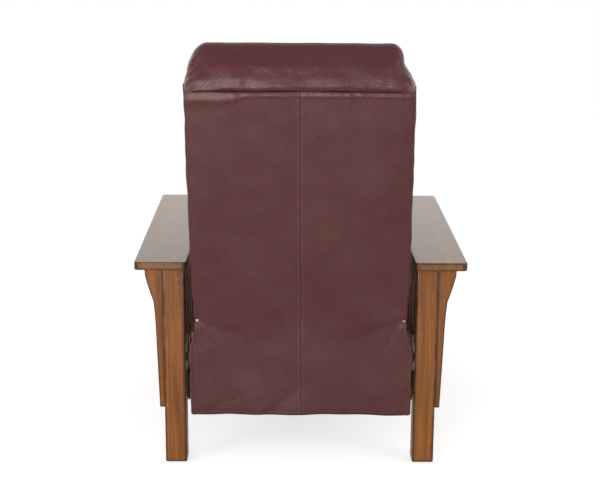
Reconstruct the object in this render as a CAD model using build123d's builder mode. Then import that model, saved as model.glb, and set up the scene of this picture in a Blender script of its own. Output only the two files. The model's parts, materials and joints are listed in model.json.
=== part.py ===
from build123d import *
import os
from math import cos, radians, sin

# Mission reclining armchair. All sizes are in millimetres and all angles in degrees.
# The chair faces -Y, +X is at the sitter's left, and the floor is at Z = 0.
# "Forward" is a distance from the rear ends of the arms, towards the front.

# Arms
overall_width = 810.0
arm_width = 127.0
arm_length = 770.0
arm_thickness = 20.0
arm_top = 534.0
arm_edge = 1.5
arm_corner = 10.0

# Legs and their glides
leg_size = 54.0
leg_inset = 7.0
leg_setback = 25.0
leg_edge = 2.5
glide_height = 3.0
glide_radius = 14.0

# Side rails and slats
rail_thickness = 24.0
upper_rail_height = 50.0
lower_rail_height = 85.0
lower_rail_bottom = 150.0
slat_count = 7
slat_width = 38.0
slat_thickness = 14.0

# Corbels: how far the outline stands off the leg, from the arm down to the foot
corbel_thickness = 22.0
corbel_bottom = 145.0
corbel_top_reach = 46.0
corbel_shoulder_drop = 26.0
corbel_shoulder_reach = 44.0
corbel_neck_drop = 90.0
corbel_neck_reach = 25.0
corbel_waist_drop = 150.0
corbel_waist_reach = 20.5
corbel_foot_reach = 13.5
corbel_shoulder_share = (0.45, 0.50)
corbel_neck_share = (0.40, 0.52)

# Steel mechanism: flat plates in layers, numbered from the legs inwards
base_layer = 0
swing_layer = 1
seat_layer = 2
link_layer = 3
coupler_layer = 4
footrest_layer = 5
plate = 4.0
plate_gap = 3.0
pin_radius = 5.0
pin_clearance = 0.05
pin_head_radius = 8.0
pin_head_height = 2.0
pin_head_gap = 0.3
link_half_width = 11.0

# Base plates, their screws and the tubes between them
base_plate_below_rail = 8.0
base_plate_height = 82.0
base_plate_past_leg = 11.0
base_plate_short_of_arm = 180.0
screw_radius = 2.5
screw_head_radius = 5.5
screw_head_height = 2.2
screw_length = 20.0
screw_above_rail_foot = 12.0
screw_margin = 30.0
screw_count = 4
cross_tube_radius = 12.5
cross_tube_wall = 2.0
cross_tube_above_rail_foot = 26.0
rear_tube_past_plate_end = 48.0
middle_tube_behind_link = 222.0
stretcher_thickness = 22.0
stretcher_above_rail_foot = 8.0
stretcher_height = 62.0

# Swing links that carry the seat
swing_rear_past_plate_end = 125.0
swing_front_from_plate_end = 115.0
swing_pivot_above_rail_foot = 55.0
swing_length = 90.0
swing_lean = 25.0

# Seat plates and the wooden seat box
seat_plate_behind_hinge = 16.0
seat_plate_behind_seat_front = 130.0
seat_plate_above_swing_pivot = 63.0
seat_plate_height = 77.0
seat_flange_width = 48.0
seat_rail_thickness = 22.0
seat_rail_above_plate_foot = 7.0
seat_rail_past_hinge = 10.0
seat_rail_behind_seat_front = 105.0
seat_rail_head_room = 2.0

# Sinuous springs of the seat and the back
spring_wire = 4.0
spring_turn_radius = 19.0
spring_half_width = 30.0
seat_spring_room = 110.0
seat_spring_draw = 12.0
back_spring_room = 116.0
back_spring_draw = 24.25
spring_lift = 0.2

# Seat cushion
seat_cushion_rear = 232.0
seat_cushion_depth = 550.0
seat_cushion_side_gap = 18.0
seat_cushion_thickness = 131.0
soft_gap = 0.4

# Back, measured along its lean from the line of the press studs
back_lean = 10.0
studs_above_seat_rail = 43.0
back_hinge_forward = 100.0
back_hinge_below_plate_top = 25.0
back_side_gap = 21.0
back_panel_thickness = 12.0
back_panel_crown = 4.0
back_panel_foot = -7.0
back_seam = 587.5
back_seam_groove = 2.5
back_seam_half_width = 5.0
back_stile_width = 22.0
back_stile_depth = 50.0
back_stile_below_seam = 7.0
back_rail_height = 45.0
back_frame_gap = 2.0
back_bracket_top = 96.0
back_bracket_width = 44.0

# Side boxing, head roll and back cushion
boxing_thickness = 7.0
boxing_crown = 3.0
boxing_gap = 0.5
back_core_depth = 71.5
roll_height_over_seam = 97.0
roll_bulge = 9.0
roll_gap = 1.0
cushion_foot = -40.0
cushion_below_roll_top = 23.0
lumbar_top = 186.0
middle_top = 398.0
lumbar_front = 234.0
middle_front = 206.0
head_front = 190.0
cushion_side_gap = 19.0
stud_radius = 4.0
stud_height = 2.5
stud_margin = 11.0
stud_rise = 3.0
stud_lift = 1.0

# Hanging flap
flap_below_rail_foot = 10.0
flap_thickness = 4.0
flap_top_side_gap = 25.0
flap_wide_side_gap = 7.5
flap_foot_side_gap = 15.0
flap_wide_above_plate_foot = 7.0
flap_gap = 0.5
flap_fold = 5.0
flap_least_fold = 0.6

# Footrest linkage: two parallel links carry a coupler that doesn't turn
footrest_pivot_from_plate_end = 90.0
footrest_pivot_below_plate_top = 32.0
footrest_link_length = 256.0
footrest_link_lean = 35.0
footrest_pivot_pitch = 64.0
footrest_pivot_angle = 12.5
toe_pivot_past_plate_end = 12.0
toe_pivot_below_links = 101.0
crank_length = 52.0
crank_angle = 66.0

# Footrest board, pad and brackets
board_past_toe_pivot = 41.0
board_thickness = 20.0
board_below_toe_pivot = 96.0
board_height = 228.0
board_side_gap = 17.0
pad_depth = 52.0
bracket_flange = 26.0
bracket_below_toe_pivot = 52.0
bracket_height = 140.0

# Shares of the soft forms' own sizes
# Half a stuffed section: across the half width and up from its base, ending on its crown arc
seat_profile_shares = [(0.975, 0.00), (1.00, 0.18), (0.975, 0.42), (0.905, 0.72), (0.74, 0.90)]
pillow_profile_shares = [(0.985, 0.00), (1.00, 0.26), (0.990, 0.52), (0.940, 0.735), (0.80, 0.885)]
# Seat cushion stations: along the depth, half width, underside, crown
seat_tail_shares = [
    (0.00, 0.930, 0.00, 0.420),
    (0.03, 0.955, 0.00, 0.640),
    (0.09, 0.975, 0.00, 0.815),
]
seat_body_shares = [
    (0.09, 0.975, 0.00, 0.815),
    (0.20, 0.985, 0.00, 0.885),
    (0.42, 0.980, 0.00, 0.955),
    (0.62, 0.985, 0.00, 0.990),
    (0.86, 0.990, 0.00, 0.970),
]
seat_nose_shares = [
    (0.860, 0.990, 0.00, 0.970),
    (0.930, 0.985, 0.035, 0.870),
    (0.975, 0.970, 0.090, 0.640),
    (1.000, 0.930, 0.135, 0.420),
]
# Pillow stations of the back: along the pillow, half width, front fullness
pillow_station_shares = [
    (0.00, 0.910, 0.42),
    (0.10, 0.970, 0.72),
    (0.28, 0.990, 0.94),
    (0.50, 0.985, 1.00),
    (0.72, 0.990, 0.95),
    (0.90, 0.970, 0.72),
    (1.00, 0.910, 0.42),
]
# How much narrower the head pillow is at its top
head_narrowing_share = 0.06
# Head roll stations: across the half width, height of the roll, bulge of its face
roll_body_shares = [
    (-0.80, 0.970, 0.90),
    (-0.40, 0.990, 0.98),
    (0.00, 1.000, 1.00),
    (0.40, 0.990, 0.98),
    (0.80, 0.970, 0.90),
]
roll_end_shares = [
    (0.80, 0.970, 0.90),
    (0.91, 0.870, 0.70),
    (0.97, 0.680, 0.45),
    (1.00, 0.440, 0.20),
]
roll_bulge_share = 0.13
roll_shoulder_share = 0.30
roll_slope_depth_share = 0.36
roll_slope_height_share = 0.79
# Footrest pad stations: along its height, half width, fullness
pad_station_shares = [
    (0.00, 0.950, 0.32),
    (0.06, 0.975, 0.56),
    (0.15, 0.985, 0.82),
    (0.27, 0.990, 0.95),
    (0.50, 0.985, 1.00),
    (0.73, 0.990, 0.95),
    (0.85, 0.985, 0.82),
    (0.94, 0.975, 0.56),
    (1.00, 0.950, 0.32),
]
# Flap folds: across the half width, one arc from each place to the next
flap_fold_shares = [-1.0, -0.52, 0.0, 0.52, 1.0]

# Places worked out from the sizes above
lean_sin = sin(radians(back_lean))
lean_cos = cos(radians(back_lean))
seat_front = seat_cushion_rear + seat_cushion_depth
roll_top = back_seam + roll_height_over_seam
roll_widest = back_seam + roll_bulge_share * roll_height_over_seam
rear_reach = roll_widest * lean_sin + roll_bulge * lean_cos
arm_rear_y = (seat_front - rear_reach) / 2
arm_inner = overall_width / 2 - arm_width
arm_bottom = arm_top - arm_thickness
leg_inner = arm_inner + leg_inset
leg_outer = leg_inner + leg_size
leg_middle = leg_inner + leg_size / 2
rear_leg_forward = leg_setback + leg_size / 2
front_leg_forward = arm_length - rear_leg_forward
layer_pitch = plate + plate_gap

# Half widths of the soft pieces, from the room between the legs
seat_cushion_half_width = leg_inner - seat_cushion_side_gap
back_half_width = leg_inner - back_side_gap
cushion_half_width = leg_inner - cushion_side_gap
board_half_width = leg_inner - board_side_gap
flap_top_half_width = leg_inner - flap_top_side_gap
flap_wide_half_width = leg_inner - flap_wide_side_gap
flap_foot_half_width = leg_inner - flap_foot_side_gap
stud_spread = back_half_width - stud_margin

# Heights of the mechanism, from the foot of the lower side rails up
base_plate_bottom = lower_rail_bottom - base_plate_below_rail
screw_height = lower_rail_bottom + screw_above_rail_foot
cross_tube_height = lower_rail_bottom + cross_tube_above_rail_foot
stretcher_bottom = lower_rail_bottom + stretcher_above_rail_foot
swing_pivot_height = lower_rail_bottom + swing_pivot_above_rail_foot
seat_plate_bottom = swing_pivot_height + seat_plate_above_swing_pivot
seat_plate_top = seat_plate_bottom + seat_plate_height
seat_rail_bottom = seat_plate_bottom + seat_rail_above_plate_foot
seat_rail_top = seat_plate_top - plate
back_hinge_height = seat_plate_top - back_hinge_below_plate_top
back_datum_height = seat_rail_top + studs_above_seat_rail
footrest_pivot_height = seat_plate_top - footrest_pivot_below_plate_top
toe_pivot_height = footrest_pivot_height - toe_pivot_below_links
board_bottom = toe_pivot_height - board_below_toe_pivot
bracket_bottom = toe_pivot_height - bracket_below_toe_pivot
bracket_top = bracket_bottom + bracket_height
flap_bottom = lower_rail_bottom - flap_below_rail_foot
flap_wide_height = seat_plate_bottom + flap_wide_above_plate_foot
back_stile_top = back_seam - back_stile_below_seam
cushion_top = roll_top - cushion_below_roll_top

# Places of the mechanism along the chair
base_plate_rear = leg_setback + leg_size + base_plate_past_leg
base_plate_front = arm_length - base_plate_short_of_arm
rear_tube_forward = base_plate_rear + rear_tube_past_plate_end
swing_rear_forward = base_plate_rear + swing_rear_past_plate_end
swing_front_forward = base_plate_front - swing_front_from_plate_end
seat_plate_rear = back_hinge_forward - seat_plate_behind_hinge
seat_plate_front = seat_front - seat_plate_behind_seat_front
seat_rail_rear = back_hinge_forward + seat_rail_past_hinge
seat_rail_front = seat_front - seat_rail_behind_seat_front
footrest_pivot_forward = seat_plate_front - footrest_pivot_from_plate_end
middle_tube_forward = footrest_pivot_forward - middle_tube_behind_link
toe_pivot_forward = seat_plate_front + toe_pivot_past_plate_end
board_rear = toe_pivot_forward + board_past_toe_pivot


def y_of(forward):
    """Y of a place at a distance forward of the arms' rear ends."""
    return arm_rear_y - forward


def layer(number):
    """X of the outer face of a layer of steel plate, counted inwards from the legs."""
    return leg_inner - number * layer_pitch


def beyond(start, length, degrees):
    """(forward, height) at a length from start, at an angle above the forward direction."""
    angle = radians(degrees)
    return (start[0] + length * cos(angle), start[1] + length * sin(angle))


def spots(points):
    """Sketch points on a side plane for a list of (forward, height)."""
    return [(y_of(forward), height) for forward, height in points]


def side_rectangle(outer_x, rear, front, bottom, top):
    """A rectangle on the side plane at outer_x."""
    with BuildSketch(Plane.YZ.offset(outer_x)) as outline:
        with Locations((y_of((rear + front) / 2), (bottom + top) / 2)):
            Rectangle(front - rear, top - bottom)
    return outline.sketch


def link_outline(outer_x, points, bores):
    """A flat link round some (forward, height) points, with bores at others."""
    with BuildSketch(Plane.YZ.offset(outer_x)) as outline:
        with Locations(*spots(points)):
            Circle(link_half_width)
        make_hull()
        with Locations(*spots(bores)):
            Circle(pin_radius + pin_clearance, mode=Mode.SUBTRACT)
    return outline.sketch


def discs(outer_x, points, radius):
    """Discs of one radius on the side plane at outer_x."""
    with BuildSketch(Plane.YZ.offset(outer_x)) as outline:
        with Locations(*spots(points)):
            Circle(radius)
    return outline.sketch


def opposite(piece):
    """The same piece on the other side of the chair."""
    with BuildPart() as other:
        mirror(piece.part, about=Plane.YZ)
    return other


swing_rest = 90 + swing_lean
rear_swing_foot = (swing_rear_forward, swing_pivot_height)
front_swing_foot = (swing_front_forward, swing_pivot_height)
rear_swing_head = beyond(rear_swing_foot, swing_length, swing_rest)
front_swing_head = beyond(front_swing_foot, swing_length, swing_rest)
back_hinge = (back_hinge_forward, back_hinge_height)

footrest_rest = -90 - footrest_link_lean
link_a_head = (footrest_pivot_forward, footrest_pivot_height)
link_b_head = beyond(link_a_head, footrest_pivot_pitch, footrest_pivot_angle)
link_a_foot = beyond(link_a_head, footrest_link_length, footrest_rest)
link_b_foot = beyond(link_b_head, footrest_link_length, footrest_rest)
toe_pivot = (toe_pivot_forward, toe_pivot_height)
crank_on_link = beyond(link_a_foot, crank_length, crank_angle)
crank_on_bracket = beyond(toe_pivot, crank_length, crank_angle)

# Arms: flat boards with rounded corners and eased edges
arm_middle = (arm_inner + overall_width / 2) / 2
with BuildPart() as arm_left:
    with BuildSketch(Plane.XY.offset(arm_bottom)):
        with Locations((arm_middle, y_of(arm_length / 2))):
            RectangleRounded(arm_width, arm_length, arm_corner)
    extrude(amount=arm_thickness)
    chamfer(arm_left.faces().sort_by(Axis.Z)[-1].edges(), arm_edge)
    chamfer(arm_left.faces().sort_by(Axis.Z)[0].edges(), arm_edge)
arm_right = opposite(arm_left)


def leg(forward):
    """A square leg from its glide to the arm, with eased corners."""
    with BuildPart() as post:
        with BuildSketch(Plane.XY.offset(glide_height)):
            with Locations((leg_middle, y_of(forward))):
                Rectangle(leg_size, leg_size)
        extrude(amount=arm_bottom - glide_height)
        chamfer(post.edges().filter_by(Axis.Z), leg_edge)
        chamfer(post.faces().sort_by(Axis.Z)[0].edges(), leg_edge)
    return post


front_leg_left = leg(front_leg_forward)
rear_leg_left = leg(rear_leg_forward)
front_leg_right = opposite(front_leg_left)
rear_leg_right = opposite(rear_leg_left)

with BuildPart() as leg_glides:
    with BuildSketch():
        with Locations(
            *[
                (side * leg_middle, y_of(forward))
                for side in (-1, 1)
                for forward in (rear_leg_forward, front_leg_forward)
            ]
        ):
            Circle(glide_radius)
    extrude(amount=glide_height)

# Side rails run between the legs, flush with the legs' inner faces
rail_rear = leg_setback + leg_size
rail_front = arm_length - rail_rear
rail_outer = leg_inner + rail_thickness
upper_rail_bottom = arm_bottom - upper_rail_height
lower_rail_top = lower_rail_bottom + lower_rail_height

with BuildPart() as upper_side_rail_left:
    extrude(side_rectangle(rail_outer, rail_rear, rail_front, upper_rail_bottom, arm_bottom),
            amount=-rail_thickness)
upper_side_rail_right = opposite(upper_side_rail_left)

# The base plate's screws go into the lower rail
screw_first = base_plate_rear + screw_margin
screw_pitch = (base_plate_front - screw_margin - screw_first) / (screw_count - 1)
screws = [(screw_first + n * screw_pitch, screw_height) for n in range(screw_count)]
screw_bore = screw_radius + pin_clearance

with BuildPart() as lower_side_rail_left:
    extrude(side_rectangle(rail_outer, rail_rear, rail_front, lower_rail_bottom, lower_rail_top),
            amount=-rail_thickness)
    extrude(discs(leg_inner, screws, screw_bore), amount=screw_length, mode=Mode.SUBTRACT)
lower_side_rail_right = opposite(lower_side_rail_left)

slat_room = (rail_front - rail_rear - slat_count * slat_width) / (slat_count + 1)
slat_outer = leg_inner + (rail_thickness + slat_thickness) / 2
with BuildPart() as side_slats_left:
    for n in range(slat_count):
        slat_rear = rail_rear + slat_room + n * (slat_width + slat_room)
        extrude(side_rectangle(slat_outer, slat_rear, slat_rear + slat_width,
                               lower_rail_top, upper_rail_bottom),
                amount=-slat_thickness)
side_slats_right = opposite(side_slats_left)

# Corbels: long brackets on the legs' outer faces
corbel_heights = [arm_bottom - drop for drop in
                  (0, corbel_shoulder_drop, corbel_neck_drop, corbel_waist_drop)]
corbel_reaches = [corbel_top_reach, corbel_shoulder_reach, corbel_neck_reach,
                  corbel_waist_reach]
corbel_points = [(leg_outer + reach, height)
                 for reach, height in zip(corbel_reaches, corbel_heights)]


def between(first, last, shares):
    """A point between two others, by a share of their X distance and of their Z distance."""
    return (first[0] + shares[0] * (last[0] - first[0]),
            first[1] + shares[1] * (last[1] - first[1]))


def corbel(forward):
    """A corbel centred on a leg: a convex shoulder, a hollow neck and a long straight taper."""
    top, shoulder, neck, waist = corbel_points
    foot = (leg_outer + corbel_foot_reach, corbel_bottom)
    with BuildPart() as bracket:
        with BuildSketch(Plane.XZ.offset(-y_of(forward - corbel_thickness / 2))):
            with BuildLine():
                Line((leg_outer, corbel_bottom), (leg_outer, arm_bottom))
                Line((leg_outer, arm_bottom), top)
                Line(top, shoulder)
                ThreePointArc(shoulder, between(shoulder, neck, corbel_shoulder_share), neck)
                ThreePointArc(neck, between(neck, waist, (corbel_neck_share[1],
                                                         corbel_neck_share[0])), waist)
                Line(waist, foot)
                Line(foot, (leg_outer, corbel_bottom))
            make_face()
        extrude(amount=corbel_thickness)
    return bracket


front_corbel_left = corbel(front_leg_forward)
rear_corbel_left = corbel(rear_leg_forward)
front_corbel_right = opposite(front_corbel_left)
rear_corbel_right = opposite(rear_corbel_left)

# Base plates on the legs' and lower rails' inner faces
base_plate_top = base_plate_bottom + base_plate_height
with BuildPart() as base_plate_left:
    extrude(side_rectangle(layer(base_layer), base_plate_rear, base_plate_front, base_plate_bottom,
                           base_plate_top), amount=-plate)
    chamfer(base_plate_left.edges().filter_by(Axis.X), link_half_width)
    extrude(discs(layer(base_layer), [rear_swing_foot, front_swing_foot],
                  pin_radius + pin_clearance), amount=-plate, mode=Mode.SUBTRACT)
    extrude(discs(layer(base_layer), screws, screw_bore), amount=-plate, mode=Mode.SUBTRACT)
base_plate_right = opposite(base_plate_left)

base_inner = layer(base_layer) - plate
with BuildPart() as base_plate_screws:
    extrude(discs(base_inner, screws, screw_head_radius), amount=-screw_head_height)
    extrude(discs(base_inner, screws, screw_radius), amount=plate + screw_length)
    mirror(about=Plane.YZ)

with BuildPart() as cross_tubes:
    tubes = [(rear_tube_forward, cross_tube_height), (middle_tube_forward, cross_tube_height)]
    extrude(discs(-base_inner, tubes, cross_tube_radius), amount=2 * base_inner)
    extrude(discs(-base_inner, tubes, cross_tube_radius - cross_tube_wall),
            amount=2 * base_inner, mode=Mode.SUBTRACT)

with BuildPart() as rear_stretcher:
    extrude(side_rectangle(-base_inner, base_plate_rear, base_plate_rear + stretcher_thickness,
                           stretcher_bottom, stretcher_bottom + stretcher_height),
            amount=2 * base_inner)

# Swing links: four equal links, so the seat stays level as it glides forward
with BuildPart() as rear_swing_links:
    points = [rear_swing_foot, rear_swing_head]
    extrude(link_outline(layer(swing_layer), points, points), amount=-plate)
    mirror(about=Plane.YZ)

with BuildPart() as front_swing_links:
    points = [front_swing_foot, front_swing_head]
    extrude(link_outline(layer(swing_layer), points, points), amount=-plate)
    mirror(about=Plane.YZ)

# Pins: a shank through two plates, with a head on each free end
head_lift = pin_head_gap


def pins(points, outer_layer, inner_layer, outer_head=True):
    """Pins at points, from one layer of plate in to another."""
    outer = layer(outer_layer)
    inner = layer(inner_layer) - plate
    end = outer + head_lift if outer_head else outer
    with BuildPart() as group:
        extrude(discs(inner - head_lift, points, pin_radius), amount=end - inner + head_lift)
        extrude(discs(inner - head_lift, points, pin_head_radius), amount=-pin_head_height)
        if outer_head:
            extrude(discs(end, points, pin_head_radius), amount=pin_head_height)
        mirror(about=Plane.YZ)
    return group


base_pivot_pins = pins([rear_swing_foot, front_swing_foot], base_layer, swing_layer,
                       outer_head=False)
swing_head_pins = pins([rear_swing_head, front_swing_head], swing_layer, seat_layer)
footrest_head_pins = pins([link_a_head, link_b_head], seat_layer, link_layer)
coupler_pins = pins([link_a_foot, link_b_foot], link_layer, coupler_layer)
toe_pins = pins([toe_pivot], coupler_layer, footrest_layer)
crank_link_pins = pins([crank_on_link], link_layer, coupler_layer)
crank_bracket_pins = pins([crank_on_bracket], coupler_layer, footrest_layer)

# Seat plates: an upright web with a flange turned in over the seat's side rail
seat_web_outer = layer(seat_layer)
seat_bores = [rear_swing_head, front_swing_head, link_a_head, link_b_head, back_hinge]
with BuildPart() as seat_plate_left:
    extrude(side_rectangle(seat_web_outer, seat_plate_rear, seat_plate_front,
                           seat_plate_bottom, seat_plate_top), amount=-plate)
    extrude(side_rectangle(seat_web_outer, seat_rail_rear, seat_plate_front,
                           seat_plate_top - plate, seat_plate_top), amount=-seat_flange_width)
    extrude(discs(seat_web_outer, seat_bores, pin_radius + pin_clearance), amount=-plate,
            mode=Mode.SUBTRACT)
seat_plate_right = opposite(seat_plate_left)

# Wooden seat box under the flanges
seat_rail_outer = layer(footrest_layer) - plate - pin_head_height - seat_rail_head_room
seat_rail_inner = seat_rail_outer - seat_rail_thickness
with BuildPart() as seat_side_rail_left:
    extrude(side_rectangle(seat_rail_outer, seat_rail_rear, seat_rail_front,
                           seat_rail_bottom, seat_rail_top), amount=-seat_rail_thickness)
seat_side_rail_right = opposite(seat_side_rail_left)

seat_front_rail_rear = seat_rail_front - seat_rail_thickness
with BuildPart() as seat_cross_rails:
    for rear in (seat_rail_rear, seat_front_rail_rear):
        extrude(side_rectangle(seat_rail_inner, rear, rear + seat_rail_thickness,
                               seat_rail_bottom, seat_rail_top), amount=-2 * seat_rail_inner)


def spring_path(plane, length):
    """The centre line of a sinuous spring along a plane's local Y, from its origin."""
    turns = int(length // (2 * spring_turn_radius))
    run = spring_half_width - spring_turn_radius
    with BuildLine(plane) as path:
        Line((0, 0), (run, 0))
        for n in range(turns):
            side = 1 if n % 2 == 0 else -1
            start = 2 * spring_turn_radius * n
            end = start + 2 * spring_turn_radius
            ThreePointArc((side * run, start),
                          (side * spring_half_width, (start + end) / 2),
                          (side * run, end))
            last = n == turns - 1
            Line((side * run, end), (0 if last else -side * run, end))
    return path.line


def sinuous_springs(origins, x_dir, z_dir, length):
    """A row of sinuous springs lying in one plane."""
    with BuildPart() as row:
        for origin in origins:
            path = spring_path(Plane(origin, x_dir=x_dir, z_dir=z_dir), length)
            with BuildSketch(Plane(path @ 0, z_dir=path % 0)) as section:
                Circle(spring_wire / 2)
            sweep(sections=section.sketch, path=path)
    return row


def row_places(width, room, draw):
    """Places of a row about the middle of the chair: one for each room, drawn in a little."""
    count = round(width / room)
    return [(n - (count - 1) / 2) * (width / count - draw) for n in range(count)]


seat_spring_height = seat_rail_top + spring_wire / 2 + spring_lift
seat_spring_front = seat_rail_front - seat_rail_thickness / 2
seat_spring_rear = seat_rail_rear + seat_rail_thickness / 2
seat_springs = sinuous_springs(
    [(x, y_of(seat_spring_front), seat_spring_height)
     for x in row_places(2 * seat_rail_inner, seat_spring_room, seat_spring_draw)],
    (1, 0, 0), (0, 0, 1), seat_spring_front - seat_spring_rear)

# Seat cushion: crowned, with rounded sides, a rolled front edge and a rounded rear edge
cushion_base = seat_spring_height + spring_wire / 2 + soft_gap


def stuffed_lines(half_width, base, crown, profile):
    """Draws a stuffed section on its base, with rounded sides and a crowned face."""
    foot, side, edge, shoulder, brow = [
        (half_width * across, base + (crown - base) * up) for across, up in profile]
    Line((-foot[0], foot[1]), foot)
    for start, middle, end in ((foot, side, edge), (edge, shoulder, brow)):
        ThreePointArc(start, middle, end)
        ThreePointArc((-start[0], start[1]), (-middle[0], middle[1]), (-end[0], end[1]))
    ThreePointArc(brow, (0, crown), (-brow[0], brow[1]))


def seat_section(depth_share, width_share, under_share, crown_share):
    """An upright section across the seat cushion."""
    place = y_of(seat_cushion_rear + seat_cushion_depth * depth_share)
    with BuildSketch(Plane.XZ.offset(-place)) as section:
        with BuildLine():
            stuffed_lines(seat_cushion_half_width * width_share,
                          cushion_base + seat_cushion_thickness * under_share,
                          cushion_base + seat_cushion_thickness * crown_share,
                          seat_profile_shares)
        make_face()
    return section.sketch


with BuildPart() as seat_cushion:
    for stations in (seat_tail_shares, seat_body_shares, seat_nose_shares):
        loft([seat_section(*shares) for shares in stations])


def back_point(rise, depth):
    """(Y, Z) at a rise along the back's lean and a depth forward of its outer face."""
    return (arm_rear_y + rise * lean_sin - depth * lean_cos,
            back_datum_height + rise * lean_cos + depth * lean_sin)


def back_side_plane(x):
    """A side plane of the back: local X is the depth forward, local Y the rise."""
    return Plane((x, *back_point(0, 0)), x_dir=(0, -lean_cos, lean_sin), z_dir=(-1, 0, 0))


def back_cross_plane(rise):
    """A plane across the back: local X is the chair's X, local Y points to the rear."""
    return Plane((0, *back_point(rise, 0)), x_dir=(1, 0, 0), z_dir=(0, lean_sin, lean_cos))


def back_block(half_width, depths, rises):
    """A sketch of a rectangle on the back's side plane at half_width."""
    with BuildSketch(back_side_plane(half_width)) as outline:
        with Locations(((depths[0] + depths[1]) / 2, (rises[0] + rises[1]) / 2)):
            Rectangle(depths[1] - depths[0], rises[1] - rises[0])
    return outline.sketch


# Back frame: two stiles and two cross rails behind the outside panel
stile_rear = back_panel_thickness + back_frame_gap
stile_depths = (stile_rear, stile_rear + back_stile_depth)
stile_outer = layer(link_layer) - plate - plate_gap / 2 - plate
with BuildPart() as back_stile_left:
    extrude(back_block(stile_outer, stile_depths, (0, back_stile_top)),
            amount=back_stile_width)
back_stile_right = opposite(back_stile_left)

stile_inner = stile_outer - back_stile_width
with BuildPart() as back_cross_rails:
    for foot in (0, back_stile_top - back_rail_height):
        extrude(back_block(stile_inner, stile_depths, (foot, foot + back_rail_height)),
                amount=2 * stile_inner)

back_spring_depth = stile_depths[1] + spring_wire / 2 + spring_lift
back_spring_foot = back_rail_height / 2
back_spring_length = back_stile_top - back_rail_height
back_springs = sinuous_springs(
    [(x, *back_point(back_spring_foot, back_spring_depth))
     for x in row_places(2 * stile_inner, back_spring_room, back_spring_draw)],
    (1, 0, 0), (0, -lean_cos, lean_sin), back_spring_length)

# Back brackets: from the hinge on the seat plate up to the stile's outer face
hinge_rise = (back_hinge_height - back_datum_height) * lean_cos \
    - back_hinge_forward * lean_sin
hinge_depth = back_hinge_forward * lean_cos \
    + (back_hinge_height - back_datum_height) * lean_sin
stile_middle = (stile_depths[0] + stile_depths[1]) / 2
bracket_outer = stile_outer + plate
with BuildPart() as back_bracket_left:
    with BuildSketch(back_side_plane(bracket_outer)):
        with BuildLine():
            Line((stile_middle - back_bracket_width / 2, link_half_width),
                 (stile_middle - back_bracket_width / 2, back_bracket_top))
            Line((stile_middle - back_bracket_width / 2, back_bracket_top),
                 (stile_middle + back_bracket_width / 2, back_bracket_top))
            Line((stile_middle + back_bracket_width / 2, back_bracket_top),
                 (stile_middle + back_bracket_width / 2, link_half_width))
            Line((stile_middle + back_bracket_width / 2, link_half_width),
                 (hinge_depth + link_half_width, hinge_rise))
            Line((hinge_depth + link_half_width, hinge_rise),
                 (hinge_depth, hinge_rise - link_half_width))
            Line((hinge_depth, hinge_rise - link_half_width),
                 (hinge_depth - link_half_width, hinge_rise))
            Line((hinge_depth - link_half_width, hinge_rise),
                 (stile_middle - back_bracket_width / 2, link_half_width))
        make_face()
    extrude(amount=plate)
    extrude(discs(bracket_outer, [back_hinge], pin_radius + pin_clearance), amount=-plate,
            mode=Mode.SUBTRACT)
back_bracket_right = opposite(back_bracket_left)

# The hinge pin has a collar that keeps the bracket off the seat plate
with BuildPart() as back_hinge_pins:
    bracket_inner = bracket_outer - plate
    pin_outer = seat_web_outer + head_lift
    collar_outer = seat_web_outer - plate - head_lift
    extrude(discs(bracket_inner - head_lift, [back_hinge], pin_radius),
            amount=pin_outer - bracket_inner + head_lift)
    extrude(discs(bracket_inner - head_lift, [back_hinge], pin_head_radius),
            amount=-pin_head_height)
    extrude(discs(pin_outer, [back_hinge], pin_head_radius), amount=pin_head_height)
    extrude(discs(bracket_outer + head_lift, [back_hinge], pin_head_radius),
            amount=collar_outer - bracket_outer - head_lift)
    mirror(about=Plane.YZ)

# Outside back panel: two full halves with a groove at the centre seam
with BuildPart() as outside_back_panel:
    with BuildSketch(back_cross_plane(back_panel_foot)):
        with BuildLine():
            Line((-back_half_width, -back_panel_thickness),
                 (back_half_width, -back_panel_thickness))
            for side in (1, -1):
                edge = side * back_half_width
                lip = side * back_seam_half_width
                Line((edge, -back_panel_thickness), (edge, 0))
                ThreePointArc((edge, 0), ((edge + lip) / 2, back_panel_crown), (lip, 0))
                Line((lip, 0), (0, -back_seam_groove))
        make_face()
    extrude(amount=back_seam - back_panel_foot)

# Side boxing closes the frame between the outside panel and the back cushion
boxing_inner = bracket_outer + boxing_gap
with BuildPart() as back_boxing_left:
    with BuildSketch(back_cross_plane(0)):
        rear = -back_panel_thickness - boxing_gap
        front = -back_core_depth
        outer = boxing_inner + boxing_thickness
        with BuildLine():
            Line((boxing_inner, rear), (boxing_inner, front))
            Line((boxing_inner, front), (outer, front))
            ThreePointArc((outer, front), (outer + boxing_crown, (rear + front) / 2),
                          (outer, rear))
            Line((outer, rear), (boxing_inner, rear))
        make_face()
    extrude(amount=back_seam)
back_boxing_right = opposite(back_boxing_left)

# Head roll: a full band over the top of the back
roll_foot = back_seam + roll_gap
roll_height = roll_top - roll_foot


def roll_section(place_share, height_share, bulge_share):
    """A side section of the head roll."""
    height = roll_height * height_share
    bulge = roll_bulge * bulge_share
    widest = roll_foot + height * roll_bulge_share
    shoulder = roll_foot + height * roll_shoulder_share
    slope = (back_core_depth * roll_slope_depth_share,
             roll_foot + height * roll_slope_height_share)
    crest = roll_foot + height
    with BuildSketch(back_side_plane(back_half_width * place_share)) as section:
        with BuildLine():
            Line((back_core_depth, roll_foot), (0, roll_foot))
            ThreePointArc((0, roll_foot), (-bulge, widest), (0, shoulder))
            ThreePointArc((0, shoulder), slope, (back_core_depth, crest))
            Line((back_core_depth, crest), (back_core_depth, roll_foot))
        make_face()
    return section.sketch


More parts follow.
